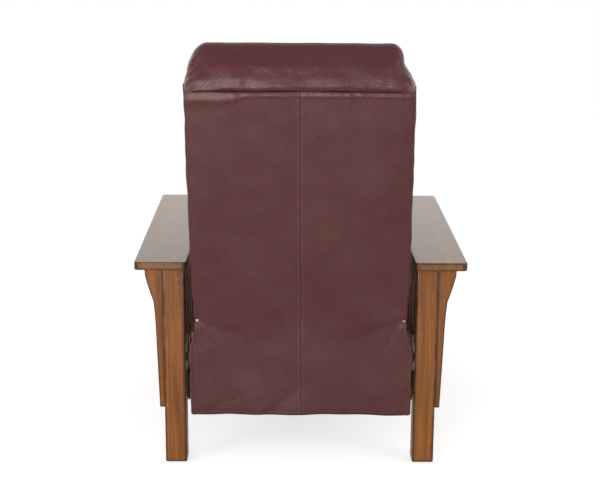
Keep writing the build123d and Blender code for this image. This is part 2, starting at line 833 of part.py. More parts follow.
with BuildPart() as head_roll:
    loft([roll_section(*shares) for shares in roll_body_shares])
    loft([roll_section(*shares) for shares in roll_end_shares])
    loft([roll_section(-place, height, bulge) for place, height, bulge in roll_end_shares])


def pillow_section(rise, width_share, depth):
    """A section across one pillow of the back cushion."""
    with BuildSketch(back_cross_plane(rise)) as section:
        with BuildLine():
            stuffed_lines(cushion_half_width * width_share, -back_core_depth - soft_gap,
                          -depth, pillow_profile_shares)
        make_face()
    return section.sketch


# Back cushion: lumbar, middle and head pillows, sewn together at two channels
pillows = [(cushion_foot, lumbar_top, lumbar_front, 0), (lumbar_top, middle_top, middle_front, 0),
           (middle_top, cushion_top, head_front, head_narrowing_share)]
with BuildPart() as back_cushion:
    for foot, top, front, narrowing in pillows:
        fullness = front - back_core_depth
        loft([pillow_section(foot + (top - foot) * along, width * (1 - narrowing * along),
                             back_core_depth + fullness * depth)
              for along, width, depth in pillow_station_shares])

# Press studs at the lower corners of the outside panel
with BuildPart() as press_studs:
    stud_base = back_cross_plane(stud_rise)
    for x in (-stud_spread, stud_spread):
        place = stud_base.from_local_coords((x, stud_lift, 0))
        with BuildSketch(Plane(place, x_dir=(1, 0, 0), z_dir=stud_base.y_dir)):
            Circle(stud_radius)
        extrude(amount=stud_height)

# Flap: leather that hangs from the outside panel, with its folds widening downwards
flap_top = back_datum_height + back_panel_foot * lean_cos - flap_gap
flap_rear_y = arm_rear_y - back_panel_thickness / 2 + flap_thickness / 2


def flap_section(height, half_width, fold):
    """A level section of the flap: shallow arcs that fold to and fro."""
    xs = [half_width * share for share in flap_fold_shares]
    with BuildSketch(Plane.XY.offset(height)) as section:
        with BuildLine():
            for y in (flap_rear_y, flap_rear_y - flap_thickness):
                side = 1
                for start, end in zip(xs, xs[1:]):
                    ThreePointArc((start, y), ((start + end) / 2, y + side * fold), (end, y))
                    side = -side
            for x in (xs[0], xs[-1]):
                Line((x, flap_rear_y), (x, flap_rear_y - flap_thickness))
        make_face()
    return section.sketch


with BuildPart() as back_flap:
    loft([
        flap_section(flap_bottom, flap_foot_half_width, flap_fold),
        flap_section(flap_wide_height, flap_wide_half_width, flap_fold / 2),
        flap_section(flap_top, flap_top_half_width, flap_least_fold),
    ])

# Footrest links on each side
with BuildPart() as footrest_links_a:
    points = [link_a_head, link_a_foot, crank_on_link]
    extrude(link_outline(layer(link_layer), points, points), amount=-plate)
    mirror(about=Plane.YZ)

with BuildPart() as footrest_links_b:
    points = [link_b_head, link_b_foot]
    extrude(link_outline(layer(link_layer), points, points), amount=-plate)
    mirror(about=Plane.YZ)

with BuildPart() as coupler_links:
    bores = [link_a_foot, link_b_foot, toe_pivot]
    extrude(link_outline(layer(coupler_layer), bores, bores), amount=-plate)
    mirror(about=Plane.YZ)

with BuildPart() as drive_links:
    points = [crank_on_link, crank_on_bracket]
    extrude(link_outline(layer(coupler_layer), points, points), amount=-plate)
    mirror(about=Plane.YZ)

# Footrest brackets: a web with both pivots and a flange on the board's rear face
with BuildPart() as footrest_brackets:
    bracket_web = layer(footrest_layer)
    points = [toe_pivot, crank_on_bracket]
    flange_points = [(board_rear - plate, bracket_bottom), (board_rear - plate, bracket_top)]
    with BuildSketch(Plane.YZ.offset(bracket_web)):
        with Locations(*spots(points)):
            Circle(link_half_width)
        with Locations(*spots(flange_points)):
            Circle(plate)
        make_hull()
        with Locations(*spots(points)):
            Circle(pin_radius + pin_clearance, mode=Mode.SUBTRACT)
        with Locations((y_of(board_rear + link_half_width), (bracket_bottom + bracket_top) / 2)):
            Rectangle(2 * link_half_width, 2 * (bracket_top - bracket_bottom),
                      mode=Mode.SUBTRACT)
    extrude(amount=-plate)
    extrude(side_rectangle(bracket_web, board_rear - plate, board_rear,
                           bracket_bottom, bracket_top), amount=-bracket_flange)
    mirror(about=Plane.YZ)

with BuildPart() as footrest_board:
    extrude(side_rectangle(board_half_width, board_rear, board_rear + board_thickness,
                           board_bottom, board_bottom + board_height),
            amount=-2 * board_half_width)


def pad_section(along, width_share, depth_share):
    """A level section of the footrest pad."""
    rear = y_of(board_rear + board_thickness + soft_gap)
    with BuildSketch(Plane.XY.offset(board_bottom + board_height * along)) as section:
        with BuildLine():
            stuffed_lines(board_half_width * width_share, rear,
                          rear - pad_depth * depth_share, pillow_profile_shares)
        make_face()
    return section.sketch


with BuildPart() as footrest_pad:
    loft([pad_section(*shares) for shares in pad_station_shares])

pieces = {
    "arm_left": arm_left, "arm_right": arm_right,
    "front_leg_left": front_leg_left, "front_leg_right": front_leg_right,
    "rear_leg_left": rear_leg_left, "rear_leg_right": rear_leg_right,
    "leg_glides": leg_glides,
    "upper_side_rail_left": upper_side_rail_left,
    "upper_side_rail_right": upper_side_rail_right,
    "lower_side_rail_left": lower_side_rail_left,
    "lower_side_rail_right": lower_side_rail_right,
    "side_slats_left": side_slats_left, "side_slats_right": side_slats_right,
    "front_corbel_left": front_corbel_left, "front_corbel_right": front_corbel_right,
    "rear_corbel_left": rear_corbel_left, "rear_corbel_right": rear_corbel_right,
    "base_plate_left": base_plate_left, "base_plate_right": base_plate_right,
    "base_plate_screws": base_plate_screws, "cross_tubes": cross_tubes,
    "rear_stretcher": rear_stretcher, "base_pivot_pins": base_pivot_pins,
    "rear_swing_links": rear_swing_links, "front_swing_links": front_swing_links,
    "swing_head_pins": swing_head_pins,
    "seat_plate_left": seat_plate_left, "seat_plate_right": seat_plate_right,
    "seat_side_rail_left": seat_side_rail_left, "seat_side_rail_right": seat_side_rail_right,
    "seat_cross_rails": seat_cross_rails, "seat_springs": seat_springs,
    "seat_cushion": seat_cushion, "footrest_head_pins": footrest_head_pins,
    "back_stile_left": back_stile_left, "back_stile_right": back_stile_right,
    "back_cross_rails": back_cross_rails, "back_springs": back_springs,
    "back_bracket_left": back_bracket_left, "back_bracket_right": back_bracket_right,
    "back_hinge_pins": back_hinge_pins, "outside_back_panel": outside_back_panel,
    "back_boxing_left": back_boxing_left, "back_boxing_right": back_boxing_right,
    "head_roll": head_roll, "back_cushion": back_cushion, "press_studs": press_studs,
    "back_flap": back_flap,
    "footrest_links_a": footrest_links_a, "footrest_links_b": footrest_links_b,
    "coupler_links": coupler_links, "coupler_pins": coupler_pins, "toe_pins": toe_pins,
    "drive_links": drive_links, "crank_link_pins": crank_link_pins,
    "crank_bracket_pins": crank_bracket_pins,
    "footrest_brackets": footrest_brackets, "footrest_board": footrest_board,
    "footrest_pad": footrest_pad,
}

os.makedirs("parts", exist_ok=True)
for name, piece in pieces.items():
    piece.part.label = name
    export_step(piece.part, f"parts/{name}.step")
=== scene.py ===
import json
import math

import bpy
import numpy as np
from mathutils import Matrix, Vector

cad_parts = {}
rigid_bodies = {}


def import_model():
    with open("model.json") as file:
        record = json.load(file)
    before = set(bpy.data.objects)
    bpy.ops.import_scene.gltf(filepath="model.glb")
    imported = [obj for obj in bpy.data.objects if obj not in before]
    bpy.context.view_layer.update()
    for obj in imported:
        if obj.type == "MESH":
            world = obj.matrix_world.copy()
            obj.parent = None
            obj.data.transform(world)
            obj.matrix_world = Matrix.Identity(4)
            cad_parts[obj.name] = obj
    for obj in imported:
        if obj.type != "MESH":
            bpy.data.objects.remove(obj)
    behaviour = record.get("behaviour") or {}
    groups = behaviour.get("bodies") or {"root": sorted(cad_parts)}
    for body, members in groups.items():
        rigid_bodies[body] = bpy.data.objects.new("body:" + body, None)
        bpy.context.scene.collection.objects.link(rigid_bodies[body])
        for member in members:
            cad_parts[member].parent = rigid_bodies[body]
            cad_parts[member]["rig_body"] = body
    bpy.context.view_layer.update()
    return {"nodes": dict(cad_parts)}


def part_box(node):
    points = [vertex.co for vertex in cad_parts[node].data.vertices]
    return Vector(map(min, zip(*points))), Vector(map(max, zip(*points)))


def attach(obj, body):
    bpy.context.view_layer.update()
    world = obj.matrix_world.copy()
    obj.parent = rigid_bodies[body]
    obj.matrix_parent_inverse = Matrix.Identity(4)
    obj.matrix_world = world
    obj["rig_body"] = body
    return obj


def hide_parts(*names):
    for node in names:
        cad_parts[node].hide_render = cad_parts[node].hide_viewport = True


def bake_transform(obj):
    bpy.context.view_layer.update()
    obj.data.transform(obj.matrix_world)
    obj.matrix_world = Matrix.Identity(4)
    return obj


# Mission reclining armchair, dressed in glazed oak and burgundy leather. Sizes are in metres.
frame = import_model()
nodes = frame["nodes"]
bpy.ops.object.select_all(action="DESELECT")

# The back leans rearward from the line of its press studs
BACK_LEAN = math.radians(10)
STUD_LINE_HEIGHT = 0.384
STUD_RISE = 0.003
STUD_SPREAD = 0.253
PANEL_THICKNESS = 0.012
BACK_SEAM = 0.5875
CORE_DEPTH = 0.0715
ARM_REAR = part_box("arm_left")[1].y
PANEL_HALF_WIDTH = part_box("outside_back_panel")[1].x
LEAN_SIN, LEAN_COS = math.sin(BACK_LEAN), math.cos(BACK_LEAN)
# How far the leather round the back leans aside for each metre that it rises
SLANT = 0.01


def back_places(x, rise, depth):
    """Places on the leaning back: rise runs up the lean, depth forward from its outer face."""
    y = ARM_REAR + rise * LEAN_SIN - depth * LEAN_COS
    z = STUD_LINE_HEIGHT + rise * LEAN_COS + depth * LEAN_SIN
    return np.stack(np.broadcast_arrays(x, y, z), -1).astype(float)


def back_sizes(places):
    """(x, rise, depth) of places on the leaning back."""
    along_y = places[:, 1] - ARM_REAR
    along_z = places[:, 2] - STUD_LINE_HEIGHT
    rise = along_y * LEAN_SIN + along_z * LEAN_COS
    depth = -along_y * LEAN_COS + along_z * LEAN_SIN
    return places[:, 0], rise, depth


def aslant(places):
    """Draws places of the back's leather a little aside as they rise, as in the photograph."""
    return places + np.stack([SLANT * (places[:, 2] - STUD_LINE_HEIGHT),
                              places[:, 1] * 0, places[:, 2] * 0], -1)


def ease(values, start, end):
    """A smooth step from 0 at start to 1 at end."""
    share = np.clip((values - start) / (end - start), 0, 1)
    return share * share * (3 - 2 * share)


def between(values, start, full, fade, end):
    """A smooth rise from 0 at start to 1 at full, and a fall from fade to end."""
    return ease(values, start, full) * (1 - ease(values, fade, end))


def ridge(distance, width):
    """1 on a line, fading out over a width on both sides."""
    return np.exp(-((distance / width) ** 2))


def waves(places, size, seed, count=20):
    """Smooth random waves of a size, about -1 to 1."""
    chance = np.random.default_rng(seed)
    ways = chance.normal(size=(count, 3))
    ways *= (chance.uniform(0.6, 1.5, count) / np.linalg.norm(ways, axis=1))[:, None]
    phases = chance.uniform(0, 2 * math.pi, count)
    return np.sin(places @ ways.T * (2 * math.pi / size) + phases).sum(1) / math.sqrt(count)


def uneven(places, *rows):
    """Uneven filling: waves that are each given as (height, size, seed)."""
    return sum(height * waves(places, size, seed) for height, size, seed in rows)


# Mesh tools
def only(piece):
    """Makes a piece the one that operators act on."""
    bpy.ops.object.select_all(action="DESELECT")
    piece.select_set(True)
    bpy.context.view_layer.objects.active = piece
    return piece


def mode(name):
    """Goes into edit mode or into object mode."""
    bpy.ops.object.mode_set(mode=name)


def show(name, data):
    """Puts new data into the scene as an object."""
    thing = bpy.data.objects.new(name, data)
    bpy.context.scene.collection.objects.link(thing)
    return thing


def places_of(piece, kind="co"):
    """The places of a piece's points, or as "normal" the directions that they face."""
    flat = np.empty(len(piece.data.vertices) * 3)
    piece.data.vertices.foreach_get(kind, flat)
    return flat.reshape(-1, 3)


def move_to(piece, places):
    """Moves all of a piece's points."""
    piece.data.vertices.foreach_set("co", np.ascontiguousarray(places).ravel())
    piece.data.update()


def paint(piece, name, values):
    """Keeps a value from 0 to 1 for each point, which the finish reads."""
    layer = piece.data.attributes.get(name) or piece.data.attributes.new(name, "FLOAT", "POINT")
    layer.data.foreach_set("value", np.clip(values, 0, 1).astype(np.float32))


def finish_with(piece, kind, **settings):
    """Adds a modifier to a piece and applies it."""
    only(piece)
    modifier = piece.modifiers.new(kind.lower(), kind)
    for setting, value in settings.items():
        setattr(modifier, setting, value)
    bpy.ops.object.modifier_apply(modifier=modifier.name)


def edit(piece, *steps):
    """Runs operators on a piece in edit mode, with all of it selected at first."""
    only(piece)
    mode("EDIT")
    bpy.ops.mesh.select_all(action="SELECT")
    for operator, settings in steps:
        operator(**settings)
    mode("OBJECT")


def smooth(piece, degrees=None):
    """Shades a piece smooth, or only up to an angle between its faces."""
    only(piece)
    if degrees is None:
        bpy.ops.object.shade_smooth()
    else:
        bpy.ops.object.shade_smooth_by_angle(angle=math.radians(degrees))


def block(name, across, along, up):
    """A cube from -1 to 1, divided across X, along Y and up Z."""
    bpy.ops.mesh.primitive_cube_add(size=2)
    piece = bpy.context.object
    piece.name = piece.data.name = name
    for axis, cuts in enumerate((across, along, up)):
        ends = [(e.vertices[0], e.vertices[1]) for e in piece.data.edges]
        places = places_of(piece)
        mode("EDIT")
        bpy.ops.mesh.select_all(action="DESELECT")
        mode("OBJECT")
        for edge, (a, b) in zip(piece.data.edges, ends):
            edge.select = bool(abs(places[a] - places[b])[axis] > 1)
        mode("EDIT")
        bpy.ops.mesh.select_mode(type="EDGE")
        bpy.ops.mesh.subdivide(number_cuts=cuts)
        mode("OBJECT")
    return piece


def dress(piece, body, material, *stands_for, slot=None):
    """Gives a piece its finish and the body it rides on, and hides the CAD nodes it stands for."""
    piece.data.materials.clear()
    piece.data.materials.append(material)
    if body:
        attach(piece, body)
    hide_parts(*stands_for)
    return piece


def stuffed(piece, body, material, node):
    """Dresses a padded piece of leather."""
    dress(piece, body, material, node, slot="leather_cushion")


# Node tools
def add(material, kind, settings=(), **inputs):
    """Adds a shader node. Inputs are values or the sockets of other nodes."""
    made = material.node_tree.nodes.new("ShaderNode" + kind)
    for setting, value in dict(settings).items():
        setattr(made, setting, value)
    for name, value in inputs.items():
        put(material, made.inputs[name.replace("_", " ")], value)
    return made


def put(material, socket, value):
    """Links a socket to another, or sets its value."""
    if isinstance(value, bpy.types.NodeSocket):
        material.node_tree.links.new(value, socket)
    else:
        socket.default_value = value


def mix(material, share, first, second):
    """Mixes two colours."""
    made = add(material, "Mix", {"data_type": "RGBA"})
    for socket, value in ((0, share), (6, first), (7, second)):
        put(material, made.inputs[socket], value)
    return made.outputs[2]


def spread(material, value, low, high, start=0.0, end=1.0):
    """Maps a value from low and high to start and end."""
    made = add(material, "MapRange", Value=value)
    for name, number in (("From Min", low), ("From Max", high), ("To Min", start), ("To Max", end)):
        made.inputs[name].default_value = number
    return made.outputs["Result"]


def times(material, first, second, operation="MULTIPLY"):
    """Multiplies two values, or joins them by another operation."""
    made = add(material, "Math", {"operation": operation})
    put(material, made.inputs[0], first)
    put(material, made.inputs[1], second)
    return made.outputs[0]


def grains(material, places, size, detail=3.0, roughness=0.5, stretch=None, distortion=0.0):
    """Noise with cells of about a size, stretched along an axis if that is given."""
    if stretch:
        places = add(material, "Mapping", Vector=places, Scale=stretch).outputs[0]
    made = add(material, "TexNoise", Vector=places, Scale=1 / size, Detail=detail,
               Roughness=roughness, Distortion=distortion)
    return made.outputs[0]


def attribute(material, name):
    """A value painted on the piece's points."""
    return add(material, "Attribute", {"attribute_name": name}).outputs["Fac"]


def new_finish(name, **sockets):
    """A material whose surface values are set on the shader itself."""
    material = bpy.data.materials.new(name)
    material.use_nodes = True
    surface = material.node_tree.nodes["Principled BSDF"]
    for socket, value in sockets.items():
        surface.inputs[socket.replace("_", " ")].default_value = value
    places = add(material, "TexCoord").outputs["Object"]
    return material, surface, places


def layers(material, colour, *coats):
    """Lays tones over a colour. Each coat is (tone, value, low, high, its fullest share)."""
    for tone, value, low, high, most in coats:
        colour = mix(material, spread(material, value, low, high, 0, most), colour, tone)
    return colour


def finish(material, surface, colour, roughness, *reliefs):
    """Gives a surface its colour, a roughness if it varies, and reliefs that lie on each other.

    Each relief is (height, distance, strength).
    """
    put(material, surface.inputs["Base Color"], colour)
    if roughness:
        put(material, surface.inputs["Roughness"], roughness)
    below = None
    for height, distance, strength in reliefs:
        made = add(material, "Bump", Height=height, Distance=distance, Strength=strength)
        if below:
            put(material, made.inputs["Normal"], below)
        below = made.outputs[0]
    put(material, surface.inputs["Normal"], below)
    return material


def rgb(red, green, blue):
    """A colour given as a paint chart gives it, from 0 to 255."""
    linear = [(c / 255 / 12.92) if c <= 10 else ((c / 255 + 0.055) / 1.055) ** 2.4
              for c in (red, green, blue)]
    return (*linear, 1.0)


# Finishes
OAK_PORE, OAK_GLAZE = rgb(70, 38, 16), rgb(52, 27, 12)
END_GRAIN_LIGHT, END_GRAIN_DARK = rgb(140, 84, 38), rgb(98, 56, 24)
PLAIN_WOOD_LIGHT, PLAIN_WOOD_DARK = rgb(205, 172, 128), rgb(176, 138, 96)
PLAIN_WOOD_LINE = rgb(138, 100, 64)
# Leather tones: pores, painted shade in seams, and painted highlights with some rubbed wear on folds
LEATHER_PORE, LEATHER_SEAM_SHADE, LEATHER_HIGHLIGHT_AND_WEAR = rgb(38, 14, 14), rgb(34, 10, 11), rgb(150, 104, 98)
FELT_FIBRE, THREAD_SHADE = rgb(70, 64, 58), rgb(50, 18, 16)


def oak(name, axis, light, dark, stain):
    """Oak with its grain along an axis, open pores, and glaze left dark in its edges."""
    material, surface, places = new_finish(name, Coat_Weight=0.85, Coat_Roughness=0.17,
                                           Specular_IOR_Level=0.10)
    long_grain = [1.0, 1.0, 1.0]
    long_grain[axis] = 0.05
    fine_grain = [1.0, 1.0, 1.0]
    fine_grain[axis] = 0.015
    figure = grains(material, places, 0.016, 4, 0.6, long_grain, 0.6)
    streaks = grains(material, places, 0.0035, 3, 0.6, fine_grain)
    pores = grains(material, places, 0.0011, 2, 0.5, fine_grain)
    patches = grains(material, places, 0.16, 2, 0.5, long_grain)
    flecks = grains(material, places, 0.007, 1, 0.5, [0.35 if a != axis else 1 for a in range(3)])
    colour = layers(material, dark, (light, figure, 0.32, 0.68, 1),
                    (dark, streaks, 0.42, 0.70, 0.55), (stain, patches, 0.35, 0.75, 0.35),
                    (light, flecks, 0.62, 0.70, 0.18), (OAK_PORE, pores, 0.60, 0.70, 0.55))
    faces = add(material, "SeparateXYZ", Vector=add(material, "TexCoord").outputs["Normal"])
    across = times(material, faces.outputs[axis], 0, "ABSOLUTE")
    end_grain = spread(material, across, 0.7, 0.95)
    end_tone = layers(material, END_GRAIN_LIGHT, (END_GRAIN_DARK, streaks, 0.4, 0.65, 1))
    colour = mix(material, times(material, end_grain, 0.8), colour, end_tone)
    worn = grains(material, places, 0.03, 3, 0.6)
    glaze = times(material, attribute(material, "glaze"), spread(material, worn, 0.3, 0.6, 0.45, 1))
    colour = mix(material, times(material, glaze, 0.85), colour, OAK_GLAZE)
    rough = spread(material, figure, 0.3, 0.7, 0.42, 0.56)
    return finish(material, surface, colour, rough, (streaks, 0.0002, 0.3), (pores, 0.0002, 0.2))


def plain_wood(name, axis):
    """Pale planed hardwood for the hidden rails."""
    material, surface, places = new_finish(name)
    stretch = [1.0, 1.0, 1.0]
    stretch[axis] = 0.06
    figure = grains(material, places, 0.012, 4, 0.6, stretch, 0.5)
    lines = grains(material, places, 0.002, 2, 0.5, stretch)
    colour = layers(material, PLAIN_WOOD_DARK, (PLAIN_WOOD_LIGHT, figure, 0.3, 0.7, 1),
                    (PLAIN_WOOD_LINE, lines, 0.5, 0.7, 0.3))
    rough = spread(material, lines, 0.3, 0.7, 0.6, 0.75)
    return finish(material, surface, colour, rough, (lines, 0.0003, 0.3))


def leather(name, deep, red, brown, gloss):
    """Burgundy leather: pebbled grain, mottled dye, painted shade in its seams and painted
    highlights with some rubbed wear on its folds.
    """
    material, surface, places = new_finish(name, Coat_Weight=0.08, Coat_Roughness=0.18,
                                           Specular_IOR_Level=0.38)
    patches = grains(material, places, 0.11, 3, 0.55, None, 0.4)
    mottle = grains(material, places, 0.009, 3, 0.6)
    creases = grains(material, places, 0.03, 4, 0.65, None, 1.2)
    pebble = add(material, "TexVoronoi", {"feature": "SMOOTH_F1"}, Vector=places, Scale=430.0,
                 Smoothness=0.6).outputs[0]
    pores = grains(material, places, 0.0009, 2, 0.6)
    colour = layers(material, deep, (brown, patches, 0.35, 0.68, 1),
                    (red, mottle, 0.45, 0.75, 0.5), (LEATHER_PORE, pebble, 0.25, 0.75, 0.30))
    # Two painted values: painted shade in seams, grooves and dimples, and painted highlights with
    # some rubbed wear on crests
    seam = attribute(material, "seam")
    highlight_and_wear = attribute(material, "highlight_and_wear")
    # Painted highlights with some rubbed wear lighten the colour
    colour = mix(material, times(material, highlight_and_wear, spread(material, mottle, 0.3, 0.7, 0.15, 0.5)),
                 colour, LEATHER_HIGHLIGHT_AND_WEAR)
    # Painted shade darkens the colour in the seams
    colour = mix(material, times(material, seam, 0.8), colour, LEATHER_SEAM_SHADE)
    rough = times(material, spread(material, mottle, 0.3, 0.7, gloss - 0.05, gloss + 0.09),
                  times(material, seam, 0.25), "ADD")
    return finish(material, surface, colour, rough, (creases, 0.0012, 0.25),
                  (mottle, 0.0009, 0.45), (pebble, -0.0008, 0.6), (pores, 0.0002, 0.3))


def metal(name, tone, rough, metallic, wear_tone, plated=False):
    """Painted or plated steel with a slight texture and rubbed places."""
    material, surface, places = new_finish(name, Metallic=metallic)
    speckle = grains(material, places, 0.0012, 2, 0.5)
    smears = grains(material, places, 0.03, 4, 0.65, None, 0.8)
    limit = 0.5 if plated else 0.62
    colour = layers(material, tone, (wear_tone, smears, limit, limit + 0.2, 0.6))
    rough = spread(material, smears, 0.3, 0.7, rough - 0.08, rough + 0.1)
    return finish(material, surface, colour, rough, (speckle, 0.0001, 0.4))


def felt(name, tone):
    """Hard felt under the legs."""
    material, surface, places = new_finish(name, Roughness=0.9, Sheen_Weight=0.2)
    fibres = grains(material, places, 0.0008, 4, 0.7)
    colour = mix(material, fibres, tone, FELT_FIBRE)
    return finish(material, surface, colour, None, (fibres, 0.0004, 0.6))


def thread(name, tone):
    """Waxed sewing thread."""
    material, surface, places = new_finish(name, Roughness=0.55, Sheen_Weight=0.1)
    twist = add(material, "TexWave", {"bands_direction": "DIAGONAL"}, Vector=places, Scale=900.0)
    colour = layers(material, tone, (THREAD_SHADE, twist.outputs[0], 0, 1, 0.5))
    return finish(material, surface, colour, None, (twist.outputs[0], 0.0002, 0.5))


FRAME_TONES = rgb(163, 101, 35), rgb(107, 57, 14), rgb(137, 77, 22)
ARM_TONES = rgb(166, 118, 44), rgb(110, 74, 20), rgb(140, 94, 32)
oak_along = oak("glazed_oak_along", 1, *FRAME_TONES)
oak_up = oak("glazed_oak_up", 2, *FRAME_TONES)
oak_arm = oak("glazed_oak_arm", 1, *ARM_TONES)
wood_along = plain_wood("hardwood_along", 1)
wood_across = plain_wood("hardwood_across", 0)
wood_up = plain_wood("hardwood_up", 2)
hide_leather = leather("burgundy_leather", rgb(78, 31, 31), rgb(100, 34, 34), rgb(84, 44, 40), 0.40)
roll_leather = leather("burgundy_leather_polished", rgb(82, 28, 29), rgb(104, 32, 33),
                       rgb(82, 40, 38), 0.33)
black_steel = metal("satin_black_steel", rgb(22, 22, 23), 0.42, 0.0, rgb(46, 45, 44))
zinc_steel = metal("zinc_plated_steel", rgb(168, 168, 166), 0.34, 1.0, rgb(130, 128, 122), True)
nickel = metal("satin_nickel", rgb(138, 130, 122), 0.40, 1.0, rgb(96, 88, 80), True)
glide_felt = felt("brown_felt", rgb(40, 34, 30))
burgundy_thread = thread("burgundy_thread", rgb(58, 21, 20))


# Copies of the CAD nodes, eased as a joiner or a smith leaves them. Turns are in degrees
FLAT_TURN, EDGE_TURN = 0.4, 30
WOOD_TURN, STEEL_TURN = 32, 40
JOIN_REACH = 0.00001


def eased(name, node, bevel, segments=2):
    """A copy of a CAD node with clean faces and eased edges."""
    piece = show(name, nodes[node].data.copy())
    piece.data.name = name
    edit(piece, (bpy.ops.mesh.remove_doubles, {"threshold": JOIN_REACH}),
         (bpy.ops.mesh.dissolve_limited, {"angle_limit": math.radians(FLAT_TURN)}))
    finish_with(piece, "BEVEL", width=bevel, segments=segments, limit_method="ANGLE",
                angle_limit=math.radians(EDGE_TURN), use_clamp_overlap=True)
    return piece


GLAZE_REACH = 0.004
WIDE_FACE = 1.2 * GLAZE_REACH


def glazed(piece):
    """Paints the glaze that stays in the edges of a wooden piece, where its faces are wide."""
    only(piece)
    mode("EDIT")
    bpy.ops.mesh.select_all(action="DESELECT")
    bpy.ops.mesh.select_mode(type="FACE")
    mode("OBJECT")
    places = places_of(piece)
    for face in piece.data.polygons:
        around = sum(np.linalg.norm(places[a] - places[b]) for a, b in face.edge_keys)
        face.select = bool(face.area / around > WIDE_FACE)
    mode("EDIT")
    bpy.ops.mesh.inset(thickness=GLAZE_REACH, use_individual=True)
    mode("OBJECT")
    glaze = np.ones(len(piece.data.vertices))
    for face in piece.data.polygons:
        if face.select:
            glaze[list(face.vertices)] = 0
    paint(piece, "glaze", glaze)
    return piece


def timber(node, body, material, bevel, slot="oak"):
    """A wooden piece in place of its CAD node."""
    piece = glazed(eased(node + "_wood", node, bevel))
    smooth(piece, WOOD_TURN)
    return dress(piece, body, material, node, slot=slot)


def steelwork(node, body, material, bevel, slot, segments=2):
    """A steel piece in place of its CAD node."""
    piece = eased(node + "_steel", node, bevel, segments)
    smooth(piece, STEEL_TURN)
    return dress(piece, body, material, node, slot=slot)


# Widths of the eased edges
ARM_EDGE, LEG_EDGE, RAIL_EDGE, SLAT_EDGE, CORBEL_EDGE = 0.0009, 0.0009, 0.0012, 0.0010, 0.0016
INNER_EDGE, PLATE_EDGE, LINK_EDGE, PIN_EDGE = 0.0010, 0.0006, 0.0005, 0.0006
COVER_EDGE, GLIDE_EDGE = 0.0030, 0.0008

seat_rails, back_stiles = [], []
for side in ("left", "right"):
    timber(f"arm_{side}", "frame", oak_arm, ARM_EDGE)
    timber(f"upper_side_rail_{side}", "frame", oak_along, RAIL_EDGE)
    timber(f"lower_side_rail_{side}", "frame", oak_along, RAIL_EDGE)
    timber(f"side_slats_{side}", "frame", oak_up, SLAT_EDGE)
    for end in ("front", "rear"):
        timber(f"{end}_leg_{side}", "frame", oak_up, LEG_EDGE)
        timber(f"{end}_corbel_{side}", "frame", oak_up, CORBEL_EDGE)
    seat_rails.append(timber(f"seat_side_rail_{side}", "seat", wood_along, INNER_EDGE, "inner_wood"))
    back_stiles.append(timber(f"back_stile_{side}", "back", wood_up, INNER_EDGE, "inner_wood"))
    steelwork(f"base_plate_{side}", "frame", black_steel, PLATE_EDGE, "black_steel")
    steelwork(f"seat_plate_{side}", "seat", black_steel, PLATE_EDGE, "black_steel")
    steelwork(f"back_bracket_{side}", "back", black_steel, PLATE_EDGE, "black_steel")

timber("rear_stretcher", "frame", wood_across, RAIL_EDGE, "inner_wood")
seat_cross_rails = timber("seat_cross_rails", "seat", wood_across, INNER_EDGE, "inner_wood")
back_cross_rails = timber("back_cross_rails", "back", wood_across, INNER_EDGE, "inner_wood")

# The fronts of the seat frame, the back frame and the footrest board are covered in leather
COVER_TURN = 0.012
SEAT_FRAME_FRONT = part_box("seat_side_rail_left")[0].y


def cover(piece, covered):
    """Gives the leather finish to the faces whose middle a test accepts."""
    piece.data.materials.append(hide_leather)
    for face in piece.data.polygons:
        face.material_index = int(covered(face.center))


for piece in seat_rails:
    cover(piece, lambda middle: middle.y < SEAT_FRAME_FRONT + COVER_TURN)
cover(seat_cross_rails, lambda middle: middle.y < 0)
for piece in (*back_stiles, back_cross_rails):
    cover(piece, lambda middle: back_sizes(np.array([middle]))[2][0] > CORE_DEPTH - COVER_TURN)

board_cover = eased("footrest_board_cover", "footrest_board", COVER_EDGE, 4)
finish_with(board_cover, "SUBSURF", levels=3, render_levels=3, subdivision_type="SIMPLE")
smooth(board_cover, STEEL_TURN)
dress(board_cover, "footrest", hide_leather, "footrest_board", slot="leather_panel")

glides = eased("leg_glides_felt", "leg_glides", GLIDE_EDGE)
smooth(glides, STEEL_TURN)
dress(glides, "frame", glide_felt, "leg_glides", slot="glide")

BLACK_PARTS = {
    "cross_tubes": "frame",
    "rear_swing_links": "rear_swing",
    "front_swing_links": "front_swing",
    "footrest_links_a": "footrest_link_a",
    "footrest_links_b": "footrest_link_b",
    "coupler_links": "coupler",
    "drive_links": "drive_link",
    "footrest_brackets": "footrest",
}
for node, body in BLACK_PARTS.items():
    steelwork(node, body, black_steel, LINK_EDGE, "black_steel")

for node, owner in nodes.items():
    if node.endswith("_pins") or node == "base_plate_screws":
        steelwork(node, owner["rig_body"], zinc_steel, PIN_EDGE, "bright_steel", 3)

for node in ("seat_springs", "back_springs"):
    nodes[node].data.materials.clear()
    nodes[node].data.materials.append(black_steel)


# Cloth, with stuffing that presses outward, and how deep the held side reaches
CLOTH = {"quality": 5, "mass": 0.25, "tension_stiffness": 22, "compression_stiffness": 12,
         "shear_stiffness": 8, "bending_stiffness": 0.8, "use_pressure": True,
         "uniform_pressure_force": 4.0}
CLOTH_STEPS = 20
HELD_REACH = 0.004
VOXEL, PAD_VOXEL = 0.006, 0.005


def still_points(piece, chosen):
    """A group of the points that the cloth leaves where they are."""
    group = piece.vertex_groups.new(name="still")
    group.add([int(n) for n in np.flatnonzero(chosen)], 1.0, "REPLACE")
    return group.name


